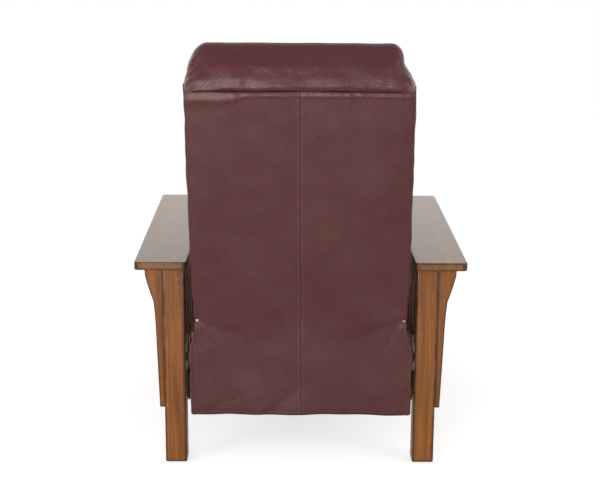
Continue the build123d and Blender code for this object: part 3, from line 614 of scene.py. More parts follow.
def inflate(piece, cap, still, fit, voxel=VOXEL):
    """Stuffs a piece: its points move by the cap at most, and the whole then fits its place."""
    finish_with(piece, "REMESH", mode="VOXEL", voxel_size=voxel)
    start = places_of(piece)
    held = still_points(piece, still(start))
    modifier = piece.modifiers.new("cloth", "CLOTH")
    for setting, value in CLOTH.items():
        setattr(modifier.settings, setting, value)
    modifier.settings.effector_weights.gravity = 0
    modifier.settings.vertex_group_mass = held
    modifier.collision_settings.use_collision = False
    scene = bpy.context.scene
    for step in range(1, CLOTH_STEPS + 1):
        scene.frame_set(step)
    shown = piece.evaluated_get(bpy.context.evaluated_depsgraph_get())
    moved = places_of(shown) - start
    piece.modifiers.remove(modifier)
    scene.frame_set(1)
    reach = np.linalg.norm(moved, axis=1)[:, None]
    moved *= cap * np.tanh(reach / cap) / np.maximum(reach, 1e-9)
    piece.vertex_groups.clear()
    move_to(piece, start + moved)
    finish_with(piece, "SUBSURF", levels=1, render_levels=1)
    move_to(piece, fit(places_of(piece)))
    smooth(piece)


def sew(piece, places, move, seam, highlight_and_wear):
    """Presses the seams and gathers into a stuffed piece, and paints shade into its seams and
    highlights with some rubbed wear onto its crests.
    """
    move_to(piece, places + places_of(piece, "normal") * move[:, None])
    paint(piece, "seam", seam)
    paint(piece, "highlight_and_wear", highlight_and_wear)


def filling(values, low, high, base=None):
    """Stretches values evenly until they fill the room from low to high."""
    if base is not None:
        values = np.maximum(values, base)
    start = values.min() if base is None else base
    return low + (values - start) * (high - low) / (values.max() - start)


def pillow_shape(places, crown, pull=0.03, roundness=0.25):
    """Crowns a cube from -1 to 1: fuller faces, drawn-in sides and rounded corners."""
    rounded = places.copy()
    for axis in range(3):
        one, two = [a for a in range(3) if a != axis]
        fall = roundness * (places[:, one] ** 6 + places[:, two] ** 6) / 2
        swell = crown[axis] * (1 - places[:, one] ** 2) * (1 - places[:, two] ** 2)
        rounded[:, axis] *= 1 - fall * 0.5 + swell - pull
    return rounded


# Hide: one leather from the top seam over the outside back and down to the flap's hem. A place
# on it is x across and t, the length down from its top seam
HEM_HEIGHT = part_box("back_flap")[0].z
TOP_SEAM = BACK_SEAM + 0.0018
STUD_T = TOP_SEAM - STUD_RISE
BEND_START, BEND_END = 0.557, 0.647
HIDE_STEP = 0.0005
HIDE_THICKNESS = 0.0022
CORNER_RADIUS, FLAP_RADIUS = 0.0055, 0.0012

# Its half widths: drawn in at the studs, flared below them, a little narrower at the hem
PANEL_DRAW = 0.0008
FLAP_HALF_WIDTH, HEM_HALF_WIDTH, PINCH_HALF_WIDTH = 0.2765, 0.2745, 0.2600
PINCH_DROP, PINCH_REACH = 0.012, 0.035
FLARE_REACH, TAPER_START = 0.085, 0.090
HEM_CORNER_RISE, HEM_CORNER_DRAW = 0.007, 0.005
EDGE_WAVES = ((0.0010, 31, 0.6), (0.0007, 67, 0.0))


def hide_line():
    """(lengths, y, z, lean) down the middle of the hide, from the top seam to the hem."""
    lengths = np.arange(0, 1.0, HIDE_STEP)
    lean = BACK_LEAN * (1 - ease(lengths, BEND_START, BEND_END))
    top = back_places(0, TOP_SEAM, 0)
    y = top[1] - np.concatenate([[0], np.cumsum(np.sin(lean))[:-1]]) * HIDE_STEP
    z = top[2] - np.concatenate([[0], np.cumsum(np.cos(lean))[:-1]]) * HIDE_STEP
    return lengths, y, z, lean


LINE_LENGTHS, LINE_Y, LINE_Z, LINE_LEAN = hide_line()
HIDE_LENGTH = float(np.interp(-HEM_HEIGHT, -LINE_Z, LINE_LENGTHS))


def hide_half_width(t):
    """Half the width of the hide at a length down from its top seam."""
    width = np.full_like(t, PANEL_HALF_WIDTH - PANEL_DRAW)
    for rise, turns, phase in EDGE_WAVES:
        width += rise * np.sin(t * turns + phase)
    pinch_t = STUD_T + PINCH_DROP
    width -= (PANEL_HALF_WIDTH - PINCH_HALF_WIDTH) * ridge(t - pinch_t, PINCH_REACH)
    width += (FLAP_HALF_WIDTH - PANEL_HALF_WIDTH) * ease(t, pinch_t, pinch_t + FLARE_REACH)
    width -= (FLAP_HALF_WIDTH - HEM_HALF_WIDTH) * ease(t, pinch_t + TAPER_START, HIDE_LENGTH)
    rounding = np.clip((t - (HIDE_LENGTH - HEM_CORNER_RISE)) / HEM_CORNER_RISE, 0, 1)
    return width - HEM_CORNER_DRAW * (1 - np.sqrt(np.maximum(1 - rounding ** 2, 0)))


def along_x(x, stretch=1.0):
    """Places for waves that change across the hide alone."""
    return np.stack([x * stretch, x * 0, x * 0], -1)


# The stuffing behind the panel: its crown, and waves as (height, size, seed)
PANEL_CROWN = 0.0042
PANEL_WAVES = ((0.0011, 0.23, 11), (0.0005, 0.085, 12))
# The centre seam, and the folded edge beside it, as (height, place, width)
SEAM_LINE = (-0.0011, 0.0, 0.0011)
SEAM_FOLD = (0.0006, -0.0042, 0.0024)


def panel_relief(x, t, flap):
    """The padded panel's crown on both sides of the centre seam, and slow waves."""
    full = 1 - (2 * np.abs(x) / PANEL_HALF_WIDTH - 1) ** 2
    out = (1 - flap) * PANEL_CROWN * np.clip(full, -0.2, 1)
    places = np.stack([x, t, np.zeros_like(x)], -1)
    out += uneven(places, *PANEL_WAVES) * (1 - 0.3 * flap)
    for rise, place, width in (SEAM_LINE, SEAM_FOLD):
        out += rise * ridge(x - place, width)
    return out


# Under the top seam: the rolled edge, the lip's place, height and width, and what each gains
# towards the left corner
ROLLED_DEPTH, ROLLED_REACH = 0.0016, 0.0020
LIP_PLACE, LIP_HEIGHT, LIP_WIDTH = 0.0100, 0.0016, 0.0046
CORNER_START, CORNER_END = 0.11, 0.19
CORNER_PLACE, CORNER_HEIGHT, CORNER_WIDTH = 0.0080, 0.0019, 0.0087
LIP_WANDER, LIP_GATHER = 0.0012, 0.0005
GATHER_HEIGHT, GATHER_REACH = 0.0007, 0.03
# The fold that runs into the right corner
CORNER_FOLD_HEIGHT, CORNER_FOLD_WIDTH, CORNER_FOLD_SLOPE = 0.0016, 0.0045, 0.30
CORNER_FOLD_X, CORNER_FOLD_T = -0.215, 0.004


def top_relief(x, t):
    """Under the top seam the leather rolls in, with a puffed lip and small gathers."""
    gathers = waves(np.stack([x * 3, t * 0.3, x * 0], -1), 0.07, 13)
    corner = ease(x, CORNER_START, CORNER_END)
    lip = LIP_PLACE + CORNER_PLACE * corner + LIP_WANDER * waves(along_x(x), 0.21, 14)
    height = LIP_HEIGHT + LIP_GATHER * gathers + CORNER_HEIGHT * corner
    out = height * ridge(t - lip, LIP_WIDTH + CORNER_WIDTH * corner)
    out -= ROLLED_DEPTH * np.exp(-t / ROLLED_REACH)
    fold = (CORNER_FOLD_X - x) * CORNER_FOLD_SLOPE + t - CORNER_FOLD_T
    out += CORNER_FOLD_HEIGHT * ridge(fold, CORNER_FOLD_WIDTH) * ease(-x, 0.20, 0.24)
    return out + GATHER_HEIGHT * gathers * np.exp(-t / GATHER_REACH)


# Round a press stud: the dimple, the ring of puckers, and the creases that run from it
DIMPLE_DEPTH, DIMPLE_WIDTH = 0.0036, 0.0075
PUCKER_HEIGHT, PUCKER_RADIUS = 0.0011, 0.013
PUCKER_COUNT, FINE_PUCKER_COUNT, FINE_PUCKER_SHARE = 7, 12, 0.6
CREASE_DEPTH, CREASE_WIDTH, CREASE_SLOPE = 0.0017, 0.0085, 0.33
CREASE_BANK, CREASE_BANK_WIDTH, CREASE_BANK_PLACE = 0.0009, 0.014, -0.018
CREASE_FLARE, CREASE_DROP, CREASE_CURVE = 0.06, 0.002, 1.02
STEEP_DEPTH, STEEP_WIDTH, STEEP_SLOPE, STEEP_PLACE = 0.0009, 0.0055, 0.42, 0.012
# Where each crease starts, is full, fades and ends
CREASE_RUN, STEEP_RUN = (0.004, 0.014, 0.05, 0.15), (0.008, 0.025, 0.05, 0.11)


def stud_relief(x, t, side):
    """Puckers and creases round the press stud on one side."""
    dx, dt = (x - side * STUD_SPREAD) * side, t - STUD_T
    far = np.hypot(dx, dt) + 1e-6
    turn = np.arctan2(dt, -dx)
    pucker = np.sin(turn * PUCKER_COUNT + side)
    pucker += FINE_PUCKER_SHARE * np.sin(turn * FINE_PUCKER_COUNT + 2 * side)
    ring = ridge(far - PUCKER_RADIUS, PUCKER_RADIUS)
    out = PUCKER_HEIGHT * pucker * ring * (0.35 + 0.65 * ease(dt, -0.004, 0.012))
    out -= DIMPLE_DEPTH * ridge(far, DIMPLE_WIDTH)
    inward = np.clip(-dx, 0, None)
    crease = dt - CREASE_DROP - CREASE_SLOPE * inward ** CREASE_CURVE
    length = between(inward, *CREASE_RUN)
    flare = CREASE_FLARE * inward
    out -= CREASE_DEPTH * ridge(crease, CREASE_WIDTH + flare) * length
    out += CREASE_BANK * ridge(crease - CREASE_BANK_PLACE, CREASE_BANK_WIDTH + flare) * length
    steep = dx + STEEP_PLACE + STEEP_SLOPE * dt
    return out - STEEP_DEPTH * ridge(steep, STEEP_WIDTH) * between(dt, *STEEP_RUN)


# The flap: folds that widen down it, two slanting dents and the sewn hems
FOLD_HEIGHT, FOLD_PITCH, FOLD_PHASE = 0.0040, 0.138, 0.5
RIPPLE_HEIGHT, RIPPLE_ACROSS, RIPPLE_DOWN = 0.0016, 57, 24
DENT_DEPTH, DENT_UPPER_WIDTH, DENT_LOWER_WIDTH = 0.0020, 0.0085, 0.022
FAINT_DENT_DEPTH, FAINT_DENT_WIDTH = 0.0008, 0.010
# A point on each dent as x and the height over the hem, how it slants, and how high it reaches
DENT_X, DENT_RISE, DENT_ASIDE, DENT_DOWN = 0.018, 0.063, 0.67, 0.74
DENT_TOP, DENT_FULL = 0.12, 0.03
FAINT_DENT_X, FAINT_DENT_RISE, FAINT_DENT_ASIDE = 0.13, 0.06, 0.5
FAINT_DENT_TOP, FAINT_DENT_FULL = 0.13, 0.02
HEM_LINE, HEM_LINE_DEPTH, HEM_LINE_WIDTH = 0.010, 0.0005, 0.0016
HEM_THICKNESS, HEM_TURN, HEM_TURN_REACH = 0.0003, 0.0016, 0.0045
SIDE_LINE_DEPTH, SIDE_THICKNESS = 0.0008, 0.0010


def flap_relief(x, t, flap, side_share):
    """The flap's folds and dents, and its hems."""
    drop = ease(t, STUD_T + 0.01, HIDE_LENGTH)
    out = drop * FOLD_HEIGHT * np.sin(x * math.pi / FOLD_PITCH + FOLD_PHASE)
    out += drop * RIPPLE_HEIGHT * np.sin(x * RIPPLE_ACROSS + t * RIPPLE_DOWN)
    hem = HIDE_LENGTH - t
    slant = (DENT_X - x) * DENT_ASIDE + (DENT_RISE - hem) * DENT_DOWN
    walls = np.where(slant > 0, DENT_LOWER_WIDTH, DENT_UPPER_WIDTH)
    out -= DENT_DEPTH * ridge(slant, walls) * ease(-hem, -DENT_TOP, -DENT_FULL)
    slant = (FAINT_DENT_X - x) * FAINT_DENT_ASIDE + FAINT_DENT_RISE - hem
    length = ease(-hem, -FAINT_DENT_TOP, -FAINT_DENT_FULL)
    out -= FAINT_DENT_DEPTH * ridge(slant, FAINT_DENT_WIDTH) * length
    out -= HEM_LINE_DEPTH * ridge(hem - HEM_LINE, HEM_LINE_WIDTH)
    out += HEM_THICKNESS * (1 - ease(hem, 0.007, 0.012))
    out -= HEM_TURN * (1 - ease(hem, 0, HEM_TURN_REACH))
    edge = (1 - side_share) * FLAP_HALF_WIDTH
    out -= flap * SIDE_LINE_DEPTH * ridge(edge - HEM_LINE, HEM_LINE_WIDTH)
    return out + flap * SIDE_THICKNESS * (1 - ease(edge, 0.007, 0.012))


def hide_relief(x, t, side_share):
    """How far the hide stands out from its flat line: fullness, seams, puckers and folds."""
    flap = ease(t, STUD_T - 0.01, STUD_T + 0.07)
    studs = stud_relief(x, t, -1) + stud_relief(x, t, 1)
    return panel_relief(x, t, flap) + top_relief(x, t) + studs + flap_relief(x, t, flap, side_share)


def hide_places(share, t):
    """Places on the hide: share runs across it from -1 to 1, t down from its top seam."""
    half = hide_half_width(t)
    flap = ease(t, STUD_T - 0.03, STUD_T + 0.02)
    radius = CORNER_RADIUS * (1 - flap) + FLAP_RADIUS * flap
    wall = (PANEL_THICKNESS - CORNER_RADIUS) * (1 - flap)
    arc = radius * math.pi / 2
    whole = half - radius + arc + wall
    run = np.abs(share) * whole
    turn = np.clip((run - (half - radius)) / arc, 0, 1) * math.pi / 2
    x = np.minimum(run, half - radius) + radius * np.sin(turn)
    depth = radius * (1 - np.cos(turn)) + np.clip(run - (half - radius) - arc, 0, None)
    x = x * np.sign(share)
    out = hide_relief(x, t, np.abs(share)) * np.cos(turn) - depth
    y = np.interp(t, LINE_LENGTHS, LINE_Y)
    z = np.interp(t, LINE_LENGTHS, LINE_Z)
    lean = np.interp(t, LINE_LENGTHS, LINE_LEAN)
    return aslant(np.stack([x, y + out * np.cos(lean), z - out * np.sin(lean)], -1))


def packed(share, tightness):
    """Spaces rows closer together near 0 and 1."""
    return share - tightness * np.sin(2 * math.pi * share) / (2 * math.pi)


HIDE_COLUMNS, HIDE_ROWS = 148, 236
HIDE_COLUMN_PACKING, HIDE_ROW_PACKING = 0.62, 0.45
# Painted shade along seams, round the stud dimples and at the hem as (share, width), and painted
# highlights on the fold by the centre seam and below the studs as (share, place, width)
CENTRE_SHADE, TOP_SHADE, STUD_SHADE = (0.55, 0.0012), (0.15, 0.0022), (0.9, 0.006)
HEM_LINE_SHADE, HEM_SHADE = (0.55, 0.0014), (0.95, 0.0030)
FOLD_HIGHLIGHT, STUD_GLINT = (0.25, 0.0048, 0.002), (0.6, 0.014, 0.006)


def make_hide():
    """The outside back and the flap in one sheet of leather."""
    bpy.ops.mesh.primitive_grid_add(x_subdivisions=HIDE_COLUMNS, y_subdivisions=HIDE_ROWS, size=2)
    hide = bpy.context.object
    hide.name = hide.data.name = "outside_back_hide"
    flat = places_of(hide)
    share = np.sign(flat[:, 0]) * packed(np.abs(flat[:, 0]), HIDE_COLUMN_PACKING)
    t = packed((1 - flat[:, 1]) / 2, HIDE_ROW_PACKING) * HIDE_LENGTH
    move_to(hide, hide_places(share, t))
    x = np.abs(share) * hide_half_width(t)
    stud = np.minimum(np.hypot(x - STUD_SPREAD, t - STUD_T), 1)
    hem = HIDE_LENGTH - t
    # Painted shade: along the centre seam, under the top seam, round the stud dimples and at the hem
    seam = np.zeros_like(t)
    lines = ((CENTRE_SHADE, x), (STUD_SHADE, stud), (HEM_LINE_SHADE, hem - HEM_LINE))
    for (shade, width), far in lines:
        seam = np.maximum(seam, shade * ridge(far, width))
    for (shade, width), far in ((TOP_SHADE, t), (HEM_SHADE, hem)):
        seam = np.maximum(seam, shade * np.exp(-far / width))
    paint(hide, "seam", seam)
    # Painted highlights: on the lip under the top seam, broad towards the left corner, on the fold
    # by the centre seam and below the studs
    left = ease(share, 0.40, 0.70)
    highlight_and_wear = (0.5 + 0.5 * left) * ridge(t - 0.0080 - 0.0060 * left, 0.0018 + 0.0053 * left)
    below_studs = ease(t, STUD_T, STUD_T + 0.008)
    for (shade, place, width), far, shown in ((FOLD_HIGHLIGHT, x, 1), (STUD_GLINT, stud, below_studs)):
        highlight_and_wear += shade * ridge(far - place, width) * shown
    paint(hide, "highlight_and_wear", highlight_and_wear)
    if places_of(hide, "normal")[:, 1].mean() < 0:
        edit(hide, (bpy.ops.mesh.flip_normals, {}))
    finish_with(hide, "SOLIDIFY", thickness=HIDE_THICKNESS, offset=-1, use_rim=True)
    smooth(hide)
    dress(hide, None, hide_leather, "outside_back_panel", "back_flap", slot="leather_panel")
    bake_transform(hide)


make_hide()


# Head roll: a full band of leather over the top of the back
ROLL_HEIGHT = 0.0946
ROLL_FOOT = TOP_SEAM + 0.0004
ROLL_END = PANEL_HALF_WIDTH - 0.0035
ROLL_SHOULDER = 0.050
ROLL_END_BULGE = 0.004
ROLL_MIDDLE_DEPTH = 0.040
ROLL_CELLS = (149, 33, 33)
# Corners of the roll's side section: turn from the rear seam over the crest, depth, share of rise
ROLL_SECTION = (
    (0.00, -0.0012, 0.000),
    (0.04, -0.0064, 0.022),
    (0.12, -0.0088, 0.110),
    (0.25, -0.0030, 0.310),
    (0.40, 0.0110, 0.590),
    (0.55, 0.0300, 0.850),
    (0.68, 0.0520, 0.985),
    (0.82, CORE_DEPTH, 1.000),
    (1.00, CORE_DEPTH, 0.000),
)


def soften(values, reach):
    """Rounds the corners of an evenly spaced line and keeps its ends."""
    kernel = np.hanning(2 * reach + 1)
    padded_line = np.pad(values, reach, mode="reflect", reflect_type="odd")
    return np.convolve(padded_line, kernel / kernel.sum(), mode="valid")


def roll_outline(turn, top):
    """(depth, rise) round a side section of the roll, for a turn from 0 to 1."""
    turns, depths, rises = np.array(ROLL_SECTION).T
    fine = np.linspace(0, 1, 401)
    depth = np.interp(turn, fine, soften(np.interp(fine, turns, depths), 20))
    rise = np.interp(turn, fine, soften(np.interp(fine, turns, rises), 20))
    return depth, rise * top


def round_section(cube):
    """The walk from 0 to 4 round a cube's section, and how far each point is from its middle.

    The walk goes up the rear face, forward over the top, down the front and back along the foot.
    """
    around = np.maximum(np.abs(cube[:, 1]), np.abs(cube[:, 2]))
    side_y, side_z = cube[:, 1] / np.maximum(around, 1e-6), cube[:, 2] / np.maximum(around, 1e-6)
    walk = np.where(side_y >= 1 - 1e-6, (side_z + 1) / 2,
                    np.where(side_z >= 1 - 1e-6, 1 + (1 - side_y) / 2,
                             np.where(side_y <= -1 + 1e-6, 2 + (1 - side_z) / 2,
                                      3 + (side_y + 1) / 2)))
    return walk, around


# The turns round the roll's outline at which the corners of its cells lie
CORNER_TURNS = (0, 0.45, 0.84, 1)
# The roll's ends: rounded down, narrower, with the foot tucked in under them
LEAST_TOP_SHARE, END_NARROWING = 0.24, 0.16
FOOT_TUCK, TUCK_START, TUCK_END = 0.0035, 0.225, 0.262
# Uneven filling as (height, size, seed), which is smoother at the crest
ROLL_WAVES = ((0.0010, 0.07, 22), (0.0004, 0.032, 24))
LOW_BULGE, LOW_BULGE_RISE, LOW_BULGE_WIDTH = 0.0026, 0.013, 0.011
# Gathers that run in from the end seams, and the slanting pleat beside each seam
GATHER_COUNT, GATHER_DEPTH, GATHER_LENGTH = 15, 0.0024, 0.014
PLEAT_DEPTH, PLEAT_WIDTH, PLEAT_PLACE, PLEAT_SLOPE = 0.0022, 0.0032, 0.004, 0.30
PLEAT_RUN, SWELL_RUN = (0.006, 0.02, 0.06, 0.09), (0.01, 0.05, 0.80, 0.95)
# The right end is drawn in above its knob; the left end has piping
WAIST_DRAW, WAIST_RISE, WAIST_WIDTH, UPPER_DRAW = 0.0115, 0.047, 0.024, 0.0035
PIPING_HEIGHT, PIPING_PLACE, PIPING_WIDTH = 0.0018, 0.0045, 0.0028
# Small knobs of leather at the seam, as (x, rise, radius)
KNOB_HEIGHT = 0.0024
KNOBS = ((-0.253, 0.009, 0.008), (0.261, 0.006, 0.005))


def make_roll():
    """The head roll, with its end gathers."""
    roll = block("head_roll_leather", *ROLL_CELLS)
    cube = places_of(roll)
    walk, around = round_section(cube)
    on_foot = walk > 3
    upper = np.interp(walk, [0, 1, 2, 3], CORNER_TURNS)
    x = np.sign(cube[:, 0]) * packed(np.abs(cube[:, 0]), 0.55) * ROLL_END
    fall = np.clip((np.abs(x) - (ROLL_END - ROLL_SHOULDER)) / (ROLL_SHOULDER + 0.0012), 0, 1)
    top = ROLL_HEIGHT * np.maximum(np.sqrt(1 - fall ** 2), LEAST_TOP_SHARE)
    depth, rise = roll_outline(upper, top)
    foot_depth = CORE_DEPTH + (ROLL_SECTION[0][1] - CORE_DEPTH) * np.clip(walk - 3, 0, 1)
    depth = np.where(on_foot, foot_depth, depth)
    depth = ROLL_MIDDLE_DEPTH + (depth - ROLL_MIDDLE_DEPTH) * (1 - END_NARROWING * fall ** 2)
    tuck = FOOT_TUCK * (1 - ease(rise, 0, 0.02)) * ease(np.abs(x), TUCK_START, TUCK_END)
    rise = np.where(on_foot, 0, rise) - tuck

    flat = np.stack([x, rise, depth], -1)
    swell = 0.0012 * waves(flat * [1, 1.6, 1], 0.21, 21)
    swell += uneven(flat, *ROLL_WAVES)
    swell *= 1 - 0.8 * ease(rise, 0.050, 0.085)
    low = ridge(rise - LOW_BULGE_RISE, LOW_BULGE_WIDTH)
    rise = rise + LOW_BULGE * waves(along_x(x), 0.15, 25) * low
    from_end = ROLL_END - np.abs(x)
    gather = np.sin(upper * math.pi * (GATHER_COUNT + 2 * np.sign(x)) + 3 * waves(flat, 0.09, 23))
    gather_fade = np.exp(-from_end / GATHER_LENGTH)
    swell += GATHER_DEPTH * gather * gather_fade * ease(from_end, 0.0, 0.006)
    drawn = WAIST_DRAW * ridge(rise - WAIST_RISE, WAIST_WIDTH) + UPPER_DRAW * ease(rise, 0.02, 0.06)
    x = x + drawn * (x < 0) * ease(-x, 0.18, ROLL_END)
    piping = ridge(from_end - PIPING_PLACE, PIPING_WIDTH) * (x > 0) * ease(rise, 0.008, 0.03)
    knobs = sum(ridge(np.hypot(x - side, rise - up), radius) for side, up, radius in KNOBS)
    swell += PIPING_HEIGHT * piping + KNOB_HEIGHT * knobs
    pleat = ridge(from_end - PLEAT_PLACE - PLEAT_SLOPE * rise, PLEAT_WIDTH)
    swell -= PLEAT_DEPTH * pleat * between(rise, *PLEAT_RUN)
    swell *= between(upper, *SWELL_RUN) * ~on_foot

    # Swell away from the middle of the section, and fill in the end caps towards it
    centre_rise = top * 0.45
    way = np.stack([depth - ROLL_MIDDLE_DEPTH, rise - centre_rise], -1)
    way /= np.maximum(np.linalg.norm(way, axis=1), 1e-6)[:, None]
    depth = depth + swell * way[:, 0]
    rise = rise + swell * way[:, 1]
    depth = ROLL_MIDDLE_DEPTH + (depth - ROLL_MIDDLE_DEPTH) * around
    rise = centre_rise + (rise - centre_rise) * around
    x = x + np.sign(x) * ROLL_END_BULGE * (1 - around ** 2) * (np.abs(cube[:, 0]) > 1 - 1e-6)
    move_to(roll, aslant(back_places(x, ROLL_FOOT + rise, depth)))

    # Painted shade under the roll at its foot seam and along its end seams; painted highlights with
    # some rubbed wear on the end gathers, the piping and the knobs
    seam = 0.15 * np.exp(-upper / 0.008) * ~on_foot + 0.6 * ridge(from_end, 0.0016) * (around > 0.96)
    paint(roll, "seam", seam)
    highlight_and_wear = 0.5 * np.clip(gather, 0, 1) * gather_fade + 0.9 * piping + knobs
    paint(roll, "highlight_and_wear", highlight_and_wear * ~on_foot)
    edit(roll, (bpy.ops.mesh.normals_make_consistent, {"inside": False}))
    smooth(roll)
    stuffed(roll, "back", roll_leather, "head_roll")


make_roll()


# Side boxing between the outside back and the back cushion
BOXING_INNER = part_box("back_boxing_left")[0].x
BOXING_THICKNESS = 0.0075
BOXING_FOOT, BOXING_TOP_GAP = 0.006, 0.004
BOXING_REAR = PANEL_THICKNESS + 0.0005
BOXING_CELLS = (3, 22, 150)
BOXING_WAVES = ((0.0012, 0.12, 31), (0.0006, 0.04, 32))
# Reach of the painted shade at the strip's seams, and the place and width of the painted highlight
# beside them
BOXING_SEAM_SHADE, BOXING_HIGHLIGHT_PLACE, BOXING_HIGHLIGHT_WIDTH = 0.0016, 0.005, 0.003


def make_boxing(side_name, side):
    """A padded strip down one side of the back."""
    strip = block(f"back_boxing_{side_name}_leather", *BOXING_CELLS)
    cube = places_of(strip)
    rise = BOXING_FOOT + (cube[:, 2] + 1) / 2 * (BACK_SEAM - BOXING_TOP_GAP)
    depth = BOXING_REAR + (1 - cube[:, 1]) / 2 * (CORE_DEPTH - BOXING_REAR)
    flat = np.stack([np.full_like(rise, side), rise, depth], -1)
    outer = 0.5 * (cube[:, 0] + 1)
    full = np.sqrt(np.maximum(1 - (0.97 * cube[:, 1]) ** 2, 0))
    reach = BOXING_THICKNESS * (0.35 + 0.85 * full) * (0.25 + 0.75 * ease(rise, 0.004, 0.075))
    reach += uneven(flat, *BOXING_WAVES) * full
    x = side * (BOXING_INNER + outer * reach)
    move_to(strip, aslant(back_places(x, rise, depth)))
    edge = np.minimum(depth - BOXING_REAR, CORE_DEPTH - depth)
    # Painted shade along both edges of the strip, where it meets the panel and the cushion, and a
    # painted highlight along the crest beside each edge
    paint(strip, "seam", 0.9 * np.exp(-edge / BOXING_SEAM_SHADE) * outer)
    paint(strip, "highlight_and_wear", 0.3 * ridge(edge - BOXING_HIGHLIGHT_PLACE, BOXING_HIGHLIGHT_WIDTH) * outer)
    edit(strip, (bpy.ops.mesh.normals_make_consistent, {"inside": False}))
    smooth(strip)
    stuffed(strip, "back", hide_leather, f"back_boxing_{side_name}")


make_boxing("left", 1)
make_boxing("right", -1)


# Back cushion: lumbar, middle and head pillows between two sewn channels
PILLOW_HALF_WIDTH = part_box("back_cushion")[1].x
PILLOW_REAR = CORE_DEPTH + 0.0006
PILLOW_CELLS = (24, 8, 12)
# Cut smaller than its place, and then stuffed by a cap at most
PILLOW_SIDE_ROOM, PILLOW_END_ROOM, CUT_DEPTH_SHARE = 0.008, 0.006, 0.84
PILLOW_CAP, SEAT_CAP, PAD_CAP = 0.026, 0.024, 0.018
PILLOW_WAVES = ((0.0013, 0.13, 51),)
PILLOW_GATHERS, PULL_REACH = (0.0016, 0.062, 41), 0.028
END_SEAM_SHADE = 0.0022
# Each pillow's foot and top up the lean, and the depth of its front
PILLOWS = {
    "lumbar_pillow": (-0.040, 0.186, 0.234),
    "middle_pillow": (0.186, 0.398, 0.206),
    "head_pillow": (0.398, 0.651, 0.190),
}
CHANNEL_PRESS = 0.006
HEAD_NARROWING, NARROWING_START, NARROWING_END = 0.09, 0.53, 0.66
# The widest seam lies at a share of the depth, and bows at the pillow's foot and top
SIDE_SEAM_SHARE, SIDE_SEAM_BOW = 0.62, 0.25
SEAM_GROOVE, SEAM_GROOVE_WIDTH = 0.0022, 0.0024


def make_pillow(name, foot, top, front):
    """One pillow of the back cushion, stuffed against the frame."""
    pillow = block(name, *PILLOW_CELLS)
    cube = pillow_shape(places_of(pillow), (0.0, 0.10, 0.0), 0.02, 0.22)
    centre, half_rise = (foot + top) / 2, (top - foot) / 2 - PILLOW_END_ROOM
    thickness = (front - PILLOW_REAR) * CUT_DEPTH_SHARE
    depth = np.maximum(PILLOW_REAR + (1 - cube[:, 1]) / 2 * thickness, PILLOW_REAR)
    move_to(pillow, back_places(cube[:, 0] * (PILLOW_HALF_WIDTH - PILLOW_SIDE_ROOM),
                                centre + cube[:, 2] * half_rise, depth))

    def still(places):
        return back_sizes(places)[2] < PILLOW_REAR + HELD_REACH

    def fit(places):
        x, rise, depth = back_sizes(places)
        narrow = 1 - HEAD_NARROWING * ease(rise, NARROWING_START, NARROWING_END)
        return back_places(filling(x, -PILLOW_HALF_WIDTH, PILLOW_HALF_WIDTH) * narrow,
                           filling(rise, foot - CHANNEL_PRESS * (foot > 0),
                                   top + CHANNEL_PRESS * (top < 0.5)),
                           filling(depth, PILLOW_REAR, front, PILLOW_REAR))

    inflate(pillow, PILLOW_CAP, still, fit)
    places = places_of(pillow)
    x, rise, depth = back_sizes(places)
    side = PILLOW_HALF_WIDTH - np.abs(x)
    bow = 1 - SIDE_SEAM_BOW * (2 * (rise - centre) / (top - foot)) ** 2
    seam_line = depth - (PILLOW_REAR + SIDE_SEAM_SHARE * (front - PILLOW_REAR) * bow)
    groove = ridge(seam_line, SEAM_GROOVE_WIDTH) * ease(-side, -0.03, -0.012)
    near = np.minimum(rise - foot, top - rise)
    from_rear = depth - PILLOW_REAR
    inside = np.clip(near, 0, None)
    pull = np.exp(-inside / PULL_REACH) * ease(from_rear, 0.03, 0.07)
    height, size, seed = PILLOW_GATHERS
    gather = waves(np.stack([x * 2.4, near, depth * 0.4], -1), size, seed + len(name))
    move = -SEAM_GROOVE * groove + height * gather * pull
    move += uneven(places, *PILLOW_WAVES) * ease(from_rear, 0.01, 0.05)
    # Painted shade in the side seam's groove and in the channels at the pillow's ends, and painted
    # highlights with some rubbed wear on the gathers
    sew(pillow, places, move, 0.8 * groove + 0.9 * np.exp(-inside / END_SEAM_SHADE),
        0.3 * np.clip(gather, 0, 1) * pull)
    stuffed(pillow, "back", hide_leather, "back_cushion")


for pillow_name, sizes in PILLOWS.items():
    make_pillow(pillow_name, *sizes)


# Seat cushion and footrest pad
SEAT_LOW, SEAT_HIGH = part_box("seat_cushion")
PAD_LOW, PAD_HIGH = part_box("footrest_pad")
SEAT_CELLS, PAD_CELLS = (24, 24, 8), (24, 4, 12)
# How much smaller the pieces are cut than their place, before they are stuffed
SEAT_ROOM, SEAT_TOP_ROOM = 0.006, 0.010
PAD_ROOM = Vector((0.005, 0.010, 0.005))
# The seat's top line: shares of the depth from the rear, and of the thickness
SEAT_TOP_PLACES = (0, 0.16, 0.42, 0.70, 0.92, 1)
SEAT_TOP_SHARES = (0.78, 0.86, 0.945, 0.99, 0.96, 0.84)
# Its underside rises towards the front edge, from a share of the depth
SEAT_NOSE_START, SEAT_NOSE_LIFT = 0.90, 0.12
# Its seams: the upper one below the top line with a welt over it, and the lower one
UPPER_SEAM_DROP, WELT_RISE, LOWER_SEAM_RISE = 0.034, 0.0065, 0.028
WELT_HEIGHT, WELT_WIDTH = 0.0018, 0.0036
UPPER_GROOVE, SEAT_PULL_REACH = 0.0024, 0.020
SEAT_GATHERS, SEAT_WAVES = (0.0013, 0.07, 61), ((0.0016, 0.17, 62), (0.0007, 0.06, 63))
